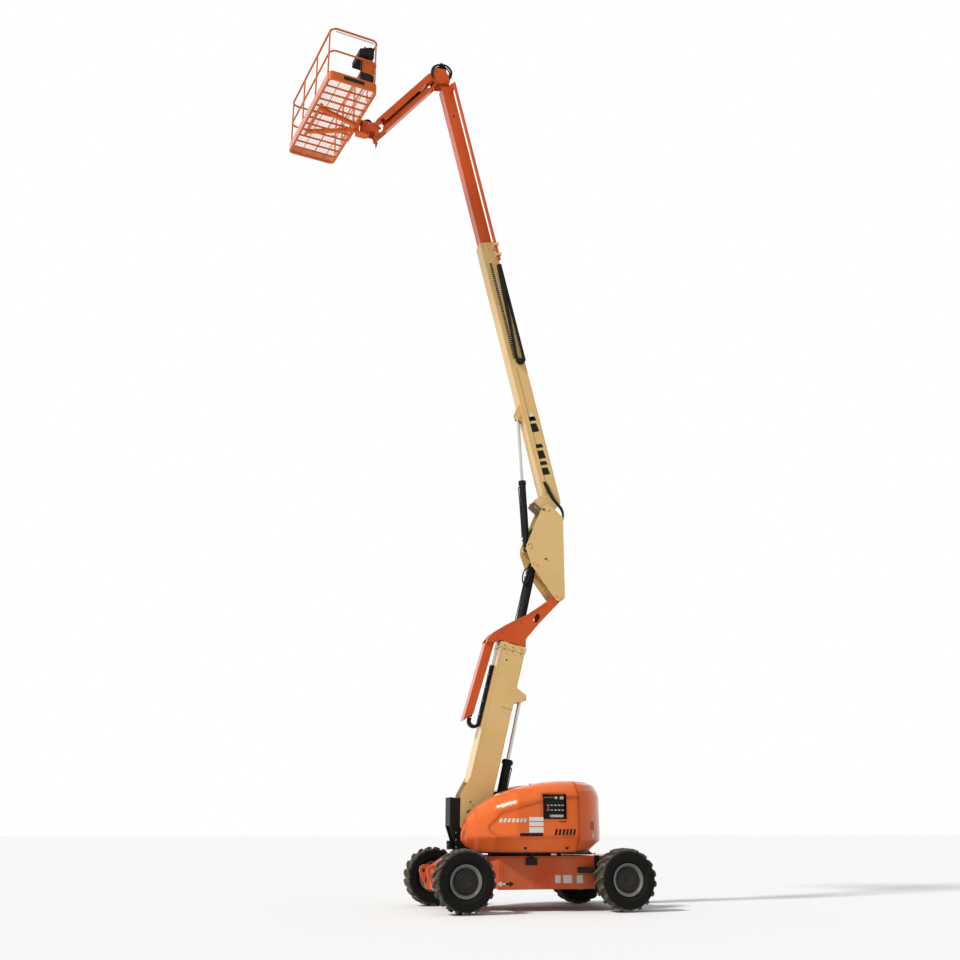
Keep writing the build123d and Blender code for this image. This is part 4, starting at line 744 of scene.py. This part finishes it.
# Counterweight: one heavy iron casting bolted to the deck's tail, painted orange over its slightly rough skin.
# Short dark marks are laid on its left side, and a round steel plug is set in each side.
cast_orange, tree, shader = weathered("cast_orange", (0.66, 0.100, 0.012, 1), (0.70, 0.125, 0.020, 1), 0.34,
                                      dust=0.25, grain_scale=25.0, bump=0.05)
glaze(tree, shader, roughness=0.14, facing=0.15, grazing=0.8)
round_over(tree, shader, 0.03)
dress(cast_orange, "counterweight")
tail_skin = surface_of("counterweight")
tail_marks = bmesh.new()
for z in (1.160, 1.190, 1.220, 1.250):
    add_patch(tail_marks, tail_skin, 1, rectangle(-2.110, -2.025, z, z + 0.017), steps=3)
keep_piece(tail_marks, "tail_dark_marks", black_paint, "turntable")
tail_round = bmesh.new()
for side in (-1, 1):
    hit = tail_skin.ray_cast(Vector((-2.058, side * 3.0, 1.074)), Vector((0, -side, 0)))
    if hit[0] is not None:
        add_round(tail_round, hit[0] - Vector((0, side * 0.010, 0)), hit[0] + Vector((0, side * 0.003, 0)), 0.032, 24)
keep_piece(tail_round, "tail_plugs", bare_plate, "turntable")

# Ground controls: a moulded black box behind the hood's window, with toggle switches in rubber boots, a row of
# indicator lenses, a key switch, an hour counter with a blank face and one red stop button.
PLASTIC_BLACK = (0.008, 0.008, 0.008, 1)
PLASTIC_BLACK_FADED = (0.014, 0.014, 0.014, 1)
control_black, tree, shader = weathered("control_black", PLASTIC_BLACK, PLASTIC_BLACK_FADED, 0.5, dust=0.05)
shader.inputs["Specular IOR Level"].default_value = 0.15
dress(control_black, "ground_controls")
stop_red, tree, shader = weathered("stop_red", (0.42, 0.012, 0.010, 1), (0.46, 0.02, 0.016, 1), 0.3, dust=0.05)
lens_amber, tree, shader = weathered("lens_amber", (0.75, 0.42, 0.08, 1), (0.70, 0.38, 0.08, 1), 0.25, dust=0.05)
PANEL_Y = 1.030
panel_parts = bmesh.new()
add_block(panel_parts, (-1.560, PANEL_Y - 0.002, 1.580), (-1.225, PANEL_Y + 0.008, 1.650), bevel=0.002)
for i in range(5):
    for z in (1.405, 1.475):
        x = -1.535 + i * 0.058
        add_round(panel_parts, (x, PANEL_Y, z), (x, PANEL_Y + 0.010, z), 0.012, 14)
        add_round(panel_parts, (x, PANEL_Y + 0.008, z), (x, PANEL_Y + 0.034, z + 0.008), 0.004, 8, 0.006)
add_round(panel_parts, (-1.258, PANEL_Y, 1.390), (-1.258, PANEL_Y + 0.012, 1.390), 0.016, 18)
keep_piece(panel_parts, "control_switches", black_paint, "turntable")
panel_plates = bmesh.new()
for i in range(5):
    for z in (1.438, 1.508):
        x = -1.535 + i * 0.058
        add_block(panel_plates, (x - 0.018, PANEL_Y, z - 0.007), (x + 0.018, PANEL_Y + 0.002, z + 0.007))
add_block(panel_plates, (-1.548, PANEL_Y + 0.008, 1.594), (-1.488, PANEL_Y + 0.010, 1.636))
add_round(panel_plates, (-1.430, PANEL_Y + 0.006, 1.616), (-1.430, PANEL_Y + 0.011, 1.616), 0.022, 24)
add_block(panel_plates, (-1.545, PANEL_Y, 1.335), (-1.330, PANEL_Y + 0.002, 1.372))
keep_piece(panel_plates, "control_blank_plates", bare_plate, "turntable")
lenses = bmesh.new()
for i in range(5):
    x = -1.385 + i * 0.034
    add_round(lenses, (x, PANEL_Y + 0.006, 1.620), (x, PANEL_Y + 0.013, 1.620), 0.008, 14)
keep_piece(lenses, "control_lenses", lens_amber, "turntable")
stop_button = bmesh.new()
add_round(stop_button, (-1.298, PANEL_Y, 1.472), (-1.298, PANEL_Y + 0.022, 1.472), 0.012, 20)
add_round(stop_button, (-1.298, PANEL_Y + 0.020, 1.472), (-1.298, PANEL_Y + 0.034, 1.472), 0.023, 24, 0.019)
keep_piece(stop_button, "stop_button", stop_red, "turntable")

# Tower: a welded box in cream paint with doublers round its pins. The paint is satin, a little chalky, with
# faint runs of dirt. A plastic cable track lies along its front face.
CREAM = (0.680, 0.445, 0.172, 1)
CREAM_FADED = (0.720, 0.485, 0.205, 1)
cream_paint, tree, shader = weathered("cream_paint", CREAM, CREAM_FADED, 0.30, dust=0.22, reach=3.0)
glaze(tree, shader, facing=0.12, grazing=1.0)
dress(cream_paint, "tower_base", "upright", "boom_base")
track_plastic, tree, shader = weathered("track_plastic", PLASTIC_BLACK, PLASTIC_BLACK_FADED, 0.5, dust=0.05)
shader.inputs["Specular IOR Level"].default_value = 0.15
dress(track_plastic, "tower_track", "boom_track", "knuckle_guard")
TOWER_AT = (-0.320, 1.420)
TOWER_TURN = 103.7
TOWER_HALF = 0.180
TOWER_FRONT_U = -0.125


def lay(at, degrees):
    """Matrix of a frame whose X runs along a boom: at is (x, z), degrees its rise from level."""
    return Matrix.Translation((at[0], 0, at[1])) @ Matrix.Rotation(-math.radians(degrees), 4, "Y")


def add_cap(mesh, seat, outward, radius, depth=0.010):
    """Pin head: a round cap, a keeper plate across it and its bolt."""
    seat, outward = Vector(seat), Vector(outward).normalized()
    add_round(mesh, seat, seat + outward * depth, radius, 28, radius * 0.94)
    across = Vector((outward.y, -outward.x, 0)) if abs(outward.y) > 0.5 else Vector((0, 1, 0))
    reach = radius * 1.55
    keeper = seat + across * reach
    add_round(mesh, keeper - outward * 0.001, keeper + outward * depth * 0.7, radius * 0.42, 16)
    add_bolt(mesh, keeper + outward * depth * 0.7, outward, radius * 0.26)


tower_lay = lay(TOWER_AT, TOWER_TURN)
tower_seams = bmesh.new()
# seams on the tower's sides: s from, u from, s to, u to
for s0, u0, s1, u1 in ((0.62, -0.100, 2.68, -0.100), (0.62, 0.272, 1.20, 0.272), (2.20, 0.272, 2.68, 0.272),
                       (1.62, 0.150, 1.92, 0.150), (1.62, 0.150, 1.62, 0.270), (1.92, 0.150, 1.92, 0.270)):
    for side in (-1, 1):
        start = tower_lay @ Vector((s0, side * TOWER_HALF, u0))
        end = tower_lay @ Vector((s1, side * TOWER_HALF, u1))
        add_bead(tower_seams, start, end, 0.0032)
keep_piece(tower_seams, "tower_seams", cream_paint, "tower")
pads = bmesh.new()
for side in (-1, 1):
    for s in (2.60, 2.67):
        for u in (-0.060, 0.085, 0.230):
            add_bolt(pads, tower_lay @ Vector((s, side * 0.198, u)), (0, side, 0), 0.011)
keep_piece(pads, "tower_pad_bolts", zinc, "tower")
tower_pins = bmesh.new()
for side in (-1, 1):
    add_cap(tower_pins, (-0.320, side * 0.1985, 1.420), (0, side, 0), 0.036)
keep_piece(tower_pins, "tower_pin_caps", zinc, "tower")
tower_holes = bmesh.new()
for side in (-1, 1):
    add_round(tower_holes, (-0.922, side * 0.1785, 3.793), (-0.922, side * 0.1805, 3.793), 0.016, 16)
    add_round(tower_holes, (-0.317, side * 0.1975, 1.569), (-0.317, side * 0.199, 1.569), 0.014, 16)
keep_piece(tower_holes, "tower_plug_holes", hose_rubber, "tower")
tower_links = bmesh.new()
for i in range(22):
    s = 1.44 + i * 0.040
    for side in (-1, 1):
        add_side_block(tower_links, side, (s, s + 0.026), (0.045, 0.0485),
                       (TOWER_FRONT_U - 0.052, TOWER_FRONT_U - 0.004), turn=tower_lay)
keep_piece(tower_links, "tower_track_links", track_plastic, "tower")
clips = bmesh.new()
for s in (1.50, 1.72, 1.94, 2.16, 2.30):
    add_block(clips, (s, -0.050, TOWER_FRONT_U - 0.062), (s + 0.018, 0.050, TOWER_FRONT_U - 0.054), turn=tower_lay)
keep_piece(clips, "tower_track_clips", white_mark, "tower")

# Tower's fly: an orange welded box that slides in the tower, with a bent box head welded on top of it. Its
# hanging arm ends in a roller and pulls the cable track along.
boom_orange, tree, shader = weathered("boom_orange", (0.56, 0.078, 0.013, 1), (0.60, 0.098, 0.020, 1), 0.30,
                                      dust=0.12)
glaze(tree, shader, facing=0.08, grazing=1.0)
dress(boom_orange, "tower_fly", "tower_carrier_arm", "boom_fly", "boom_carrier_tube", "knuckle", "jib_arm",
      "jib_link", "jib_head")
NECK_HALF = 0.165
neck_pins = bmesh.new()
for side in (-1, 1):
    add_bolt(neck_pins, (-0.860, side * NECK_HALF, 4.260), (0, side, 0), 0.013)
    add_bolt(neck_pins, (-1.180, side * NECK_HALF, 4.420), (0, side, 0), 0.013)
keep_piece(neck_pins, "neck_bolts", zinc, "tower_fly")
neck_seams = bmesh.new()
# seams along the head's sides: x from, z from, x to, z to
for x0, z0, x1, z1 in ((-0.735, 4.120, -0.870, 4.320), (-0.885, 4.330, -1.290, 4.540),
                       (-1.300, 4.545, -1.640, 4.780)):
    for side in (-1, 1):
        add_bead(neck_seams, (x0, side * NECK_HALF, z0 - 0.02), (x1, side * NECK_HALF, z1 - 0.02), 0.0035)
keep_piece(neck_seams, "neck_seams", boom_orange, "tower_fly")
roller = bmesh.new()
add_round(roller, (-0.335, -0.086, 2.905), (-0.335, 0.086, 2.905), 0.036, 24)
keep_piece(roller, "carrier_roller", hose_rubber, "tower_fly")

# Upright: two thick steel plates in cream paint, with the boom's and the cylinders' pins between them. Each
# pin ends in a brassy cap with a bolted keeper, and the lowered boom comes to rest over a bronze pad.
UPRIGHT_HALF = 0.205
upright_pins = bmesh.new()
# pin: x, z, radius of its cap
for x, z, radius in ((-1.843, 4.886, 0.024), (-1.439, 5.430, 0.022), (-1.352, 5.750, 0.022), (-1.626, 5.522, 0.018),
                     (-1.602, 6.394, 0.022)):
    for side in (-1, 1):
        add_cap(upright_pins, (x, side * (UPRIGHT_HALF + 0.0005), z), (0, side, 0), radius, 0.009)
brass, tree, shader = weathered("brassy_pins", (0.16, 0.125, 0.06, 1), (0.11, 0.085, 0.045, 1), 0.4, metallic=0.7)
keep_piece(upright_pins, "upright_pin_caps", brass, "upright")
heel = bmesh.new()
heel_lay = lay((-1.405, 6.505), 222)
add_block(heel, (0.010, -0.150, -0.050), (0.230, 0.150, -0.010), turn=heel_lay, bevel=0.006)
bronze, tree, shader = weathered("heel_bronze", (0.085, 0.052, 0.028, 1), (0.13, 0.085, 0.05, 1), 0.45, metallic=0.5)
keep_piece(heel, "boom_rest_pad", bronze, "upright")

# Main boom: a welded box in cream paint with seams along its sides and wear pads bolted round its mouth. Its left
# side carries a hose tray, the cable track above that, and black stripes that are plain slanted bars.
BOOM_AT = (-1.668, 6.411)
BOOM_TURN = 76.6
BOOM_HALF = 0.135
BOOM_END = 5.175
boom_lay = lay(BOOM_AT, BOOM_TURN)
seams = bmesh.new()
for side in (-1, 1):
    add_bead(seams, boom_lay @ Vector((0.50, side * BOOM_HALF, 0.038)),
             boom_lay @ Vector((BOOM_END - 0.35, side * BOOM_HALF, 0.038)), 0.0032)
    add_bead(seams, boom_lay @ Vector((0.50, side * BOOM_HALF, 0.274)),
             boom_lay @ Vector((BOOM_END - 0.35, side * BOOM_HALF, 0.274)), 0.0032)
    for s in (3.92, BOOM_END - 0.33):
        add_bead(seams, boom_lay @ Vector((s, side * BOOM_HALF, 0.038)),
                 boom_lay @ Vector((s, side * BOOM_HALF, 0.110)), 0.0032)
keep_piece(seams, "boom_seams", cream_paint, "boom")
boom_bolts = bmesh.new()
for side in (-1, 1):
    for s in (BOOM_END - 0.055, BOOM_END - 0.140):
        for u in (0.060, 0.155, 0.250):
            add_bolt(boom_bolts, boom_lay @ Vector((s, side * (BOOM_HALF + 0.001), u)), (0, side, 0), 0.010)
keep_piece(boom_bolts, "boom_pad_bolts", zinc, "boom")
stripes = bmesh.new()
# plain slanted bars on the boom's left side: distance along it, length
for s, length in ((0.62, 0.13), (0.80, 0.07), (0.92, 0.15), (1.12, 0.07), (1.42, 0.16), (1.63, 0.08)):
    outline = [(s, 0.105), (s + length, 0.085), (s + length, 0.215), (s, 0.235)]
    add_sheet(stripes, [boom_lay @ Vector((a, BOOM_HALF, u)) for a, u in outline], 0.0015, (0, 1, 0))
keep_piece(stripes, "boom_stripes", black_paint, "boom")
oval = bmesh.new()
outline = [boom_lay @ Vector((1.700 + 0.085 * math.cos(t), BOOM_HALF, 0.160 + 0.032 * math.sin(t)))
           for t in (2 * math.pi * i / 20 for i in range(20))]
add_sheet(oval, outline, 0.0015, (0, 1, 0))
keep_piece(oval, "boom_blank_oval", white_mark, "boom")
links = bmesh.new()
for i in range(46):
    s = 2.82 + i * 0.0415
    add_block(links, (s, 0.190, 0.075), (s + 0.028, 0.1985, 0.125), turn=boom_lay, bevel=0.002)
keep_piece(links, "boom_track_links", track_plastic, "boom")
clamps = bmesh.new()
for s in (4.90, 5.02):
    add_block(clamps, (s, 0.136, 0.225), (s + 0.040, 0.240, 0.300), turn=boom_lay, bevel=0.004)
keep_piece(clamps, "carrier_clamps", bare_plate, "boom")

# hose bundle: leaves the tray's low end, crosses the heel and turns in behind the upright
for k in range(5):
    y = 0.172 + 0.017 * (k % 3)
    slip = 0.020 * (k // 2)
    add_hose(f"boom_hose_{k}", [(-1.622 - slip, 0.150, 6.905), (-1.636 - slip, y, 6.850),
                                (-1.688 - slip, y + 0.020, 6.712), (-1.744 - slip, y + 0.052, 6.585),
                                (-1.836 - slip / 2, y + 0.058, 6.486), (-1.920, y + 0.040, 6.396 + slip),
                                (-1.962, y, 6.290 + slip), (-1.950, y - 0.060, 6.190 + slip)], 0.013, "boom",
             hose_rubber)
# hoses from the lift cylinder's foot into the upright
for k in (0, 1, 2):
    y = 0.030 + 0.040 * k
    add_hose(f"lift_hose_{k}", [(-1.372, y, 5.790), (-1.350, y, 5.930), (-1.412, y, 6.062 - 0.03 * k),
                                (-1.480, y, 6.090 - 0.03 * k), (-1.500, y, 5.960)], 0.013, "upright", hose_rubber)
# slack loops of the levelling cylinder's hoses
for k in (0, 1, 2):
    y = 0.090 - 0.014 * k
    less = 0.006 * k
    add_hose(f"level_loop_{k}", [(-1.372, 0.070, 5.395), (-1.300, y, 5.370), (-1.248 - less, y, 5.290),
                                 (-1.228 - less, y, 5.160 + less), (-1.262, y, 5.072 + less),
                                 (-1.318, y, 5.110), (-1.362, y, 5.230), (-1.384, 0.070, 5.300)], 0.010,
             "level_cylinder_barrel", hose_rubber)

# Boom fly: an orange welded box that slides in the boom on wear pads, with a round inspection hole in each
# side. The carrier tube beside it takes the hoses out with it.
FLY_HALF = 0.106
# each inspection hole is a flat black disc on the skin: painted shade for the hole's dark inside
fly_hole_shade_discs = bmesh.new()
for side in (-1, 1):
    inner, outer = ((0.025, side * (FLY_HALF + lift), 14.129) for lift in (-0.001, 0.001))
    add_round(fly_hole_shade_discs, inner, outer, 0.020, 18)
keep_piece(fly_hole_shade_discs, "fly_inspection_hole_shade", hose_rubber, "boom_fly")
fly_seams = bmesh.new()
for side in (-1, 1):
    for u in (0.060, 0.240):
        add_bead(fly_seams, boom_lay @ Vector((5.30, side * FLY_HALF, u)),
                 boom_lay @ Vector((8.30, side * FLY_HALF, u)), 0.0028)
keep_piece(fly_seams, "fly_seams", boom_orange, "boom_fly")

# Cylinders: black steel barrels and hard chrome rods. The tower's, the level and the boom's have a fitting at
# each port and a hose along the barrel.
dress(black_paint, "tower_cylinder_barrel", "level_cylinder_barrel", "boom_cylinder_barrel", "jib_cylinder_barrel")
chrome, tree, shader = weathered("hard_chrome", (0.62, 0.62, 0.63, 1), (0.50, 0.50, 0.51, 1), 0.16, dust=0.05,
                                 metallic=1.0)
dress(chrome, "tower_cylinder_rod", "level_cylinder_rod", "boom_cylinder_rod", "jib_cylinder_rod")
# cylinder: foot, eye, barrel's radius and length
CYLINDERS = (("tower", (-0.715, 1.020), (-1.195, 3.184), 0.072, 1.235),
             ("level", (-1.439, 5.430), (-0.975, 3.400), 0.074, 1.090),
             ("boom", (-1.345, 5.725), (-1.215, 8.133), 0.058, 1.220))
for name, foot, eye, radius, length in CYLINDERS:
    rise = math.degrees(math.atan2(eye[1] - foot[1], eye[0] - foot[0]))
    barrel_lay = lay(foot, rise)
    out = -1 if name == "boom" else 1
    ports = bmesh.new()
    for s in (0.150, length - 0.120):
        add_round(ports, barrel_lay @ Vector((s, 0, out * (radius - 0.006))),
                  barrel_lay @ Vector((s, 0, out * (radius + 0.018))), 0.014, 6)
    keep_piece(ports, f"{name}_cylinder_ports", zinc, f"{name}_cylinder_barrel")
    add_hose(f"{name}_cylinder_pipe", [barrel_lay @ Vector((s, 0.0, out * (radius + r))) for s, r in
                                       ((length - 0.120, 0.014), (length - 0.140, 0.024), (length - 0.180, 0.014),
                                        (length * 0.5, 0.010), (0.260, 0.010), (0.200, 0.014))], 0.008,
             f"{name}_cylinder_barrel", hose_rubber)

# Jib: welded arm, link and head in orange, pinned together as a parallelogram. Each pin ends in a zinc-plated
# cap, and black hoses loop over the knuckle and over the head.
JIB_PIN_CAPS = (  # piece, body, half width there, then x, z and radius of each cap
    ("knuckle_pin_caps", "knuckle", 0.1275, ((0.360, 14.875, 0.028), (0.395, 15.085, 0.022))),
    ("head_pin_caps", "jib_head", 0.1355, ((1.499, 13.443, 0.026), (1.534, 13.653, 0.020))))
for name, body, half_width, pins in JIB_PIN_CAPS:
    pin_caps = bmesh.new()
    for side in (-1, 1):
        for x, z, radius in pins:
            add_cap(pin_caps, (x, side * half_width, z), (0, side, 0), radius, 0.008)
    keep_piece(pin_caps, name, zinc, body)
# hoses over the head, from the jib's end to the rotator
for k, y in enumerate((0.010, 0.045)):
    add_hose(f"head_hose_{k}", [(1.600, y, 13.680), (1.585, y, 13.745), (1.635, y, 13.790), (1.700, y, 13.780),
                                (1.735, y, 13.740), (1.740, y, 13.695)], 0.013, "jib_head", hose_rubber)
# hoses over the top of the knuckle, outside its guard, and their fittings
for side in (-1, 1):
    for k in (0, 1, 2):
        y = side * (0.106 + 0.020 * (k % 2))
        grow = 0.024 * k
        add_hose(f"knuckle_hose_{'left' if side > 0 else 'right'}_{k}", [
            (0.420, y, 14.900), (0.445 + grow, y, 15.020), (0.395 + grow, y, 15.165 + grow),
            (0.270, y, 15.238 + grow), (0.165 - grow, y, 15.200 + grow), (0.098 - grow, y, 15.080),
            (0.120, y, 14.960),
        ], 0.014, "knuckle", hose_rubber)
fittings = bmesh.new()
for side in (-1, 1):
    add_side_block(fittings, side, (0.080, 0.140), (0.095, 0.140), (14.985, 15.070), bevel=0.010)
keep_piece(fittings, "knuckle_fittings", black_paint, "knuckle")

# Platform: a welded basket of round tube in orange, with a perforated mesh floor, toe boards, a sliding bar at
# the gate and the operator's console on the rail. Plates on it are blank.
YAW = math.radians(11.4)
platform_lay = Matrix.Translation((2.335, 0, 13.610)) @ Matrix.Rotation(YAW, 4, "Z")
rail_paint, tree, shader = weathered("rail_paint", (0.58, 0.105, 0.010, 1), (0.63, 0.13, 0.016, 1), 0.34, dust=0.1)
glaze(tree, shader, facing=0.12, grazing=1.0)
dress(rail_paint, "platform_rails", "platform_gate", "platform_floor", "platform_support")
dress(control_black, "platform_console")
mesh_paint, tree, shader = weathered("mesh_paint", (0.80, 0.40, 0.26, 1), (0.84, 0.48, 0.34, 1), 0.5, dust=0.05)
floor_mesh_piece = bmesh.new()
MESH_X = 0.420
MESH_Y = 1.185
PITCH_X, PITCH_Y = 0.030, 0.060
STRAND = 0.0040
rows = int(2 * MESH_Y / PITCH_Y)
columns = int(2 * MESH_X / PITCH_X)
for i in range(columns + 1):
    for j in range(rows + 1):
        x = -MESH_X + i * PITCH_X
        y = -MESH_Y + j * PITCH_Y
        for dx, dy in ((PITCH_X / 2, PITCH_Y / 2), (PITCH_X / 2, -PITCH_Y / 2)):
            ends = [Vector((x, y, 0.034)), Vector((x + dx, y + dy, 0.034))]
            if abs(x + dx) > MESH_X or abs(y + dy) > MESH_Y:
                continue
            run = (ends[1] - ends[0]).normalized()
            across = Vector((-run.y, run.x, 0)) * STRAND
            corners = [ends[0] - across, ends[1] - across, ends[1] + across, ends[0] + across]
            low = [floor_mesh_piece.verts.new(platform_lay @ c) for c in corners]
            high = [floor_mesh_piece.verts.new(platform_lay @ (c + Vector((0, 0, 0.003)))) for c in corners]
            floor_mesh_piece.faces.new(low)
            floor_mesh_piece.faces.new(high)
            for a in range(4):
                b = (a + 1) % 4
                floor_mesh_piece.faces.new((low[a], low[b], high[b], high[a]))
mesh_piece = keep_piece(floor_mesh_piece, "expanded_mesh_floor", mesh_paint, "platform")
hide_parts("platform_mesh")
toe_plate = bmesh.new()
add_block(toe_plate, (-0.200, 1.2205, 0.052), (0.180, 1.2225, 0.128), turn=platform_lay)
keep_piece(toe_plate, "platform_blank_plate", black_paint, "platform")
console_plate = bmesh.new()
add_block(console_plate, (-0.430, 1.050, 0.460), (-0.185, 1.066, 0.700), turn=platform_lay, bevel=0.003)
add_block(console_plate, (-0.430, 0.980, 0.690), (-0.300, 1.060, 0.702), turn=platform_lay)
keep_piece(console_plate, "console_shield", rail_paint, "platform")
console_box = bmesh.new()
add_block(console_box, (-0.430, 0.940, 0.310), (-0.185, 1.060, 0.455), turn=platform_lay, bevel=0.006)
add_block(console_box, (-0.400, 0.900, 0.440), (-0.330, 1.049, 0.840), turn=platform_lay, bevel=0.004)
add_block(console_box, (-0.195, 1.040, 0.310), (-0.172, 1.072, 0.715), turn=platform_lay)
keep_piece(console_box, "console_cable_box", control_black, "platform")
sticks = bmesh.new()
for y in (0.76, 0.92):
    add_round(sticks, platform_lay @ Vector((-0.30, y, 1.015)), platform_lay @ Vector((-0.29, y, 1.105)), 0.008, 12)
    add_round(sticks, platform_lay @ Vector((-0.29, y, 1.095)), platform_lay @ Vector((-0.288, y, 1.135)),
              0.020, 16, 0.014)
for k in range(6):
    y = 0.72 + 0.05 * k
    add_round(sticks, platform_lay @ Vector((-0.215, y, 0.965)), platform_lay @ Vector((-0.207, y, 1.000)), 0.004, 8)
keep_piece(sticks, "console_sticks", hose_rubber, "platform")
bars = bmesh.new()
add_round(bars, platform_lay @ Vector((-0.36, 1.205, 1.018)), platform_lay @ Vector((0.36, 1.205, 1.018)), 0.012, 16)
keep_piece(bars, "platform_lanyard_bar", bare_plate, "platform")
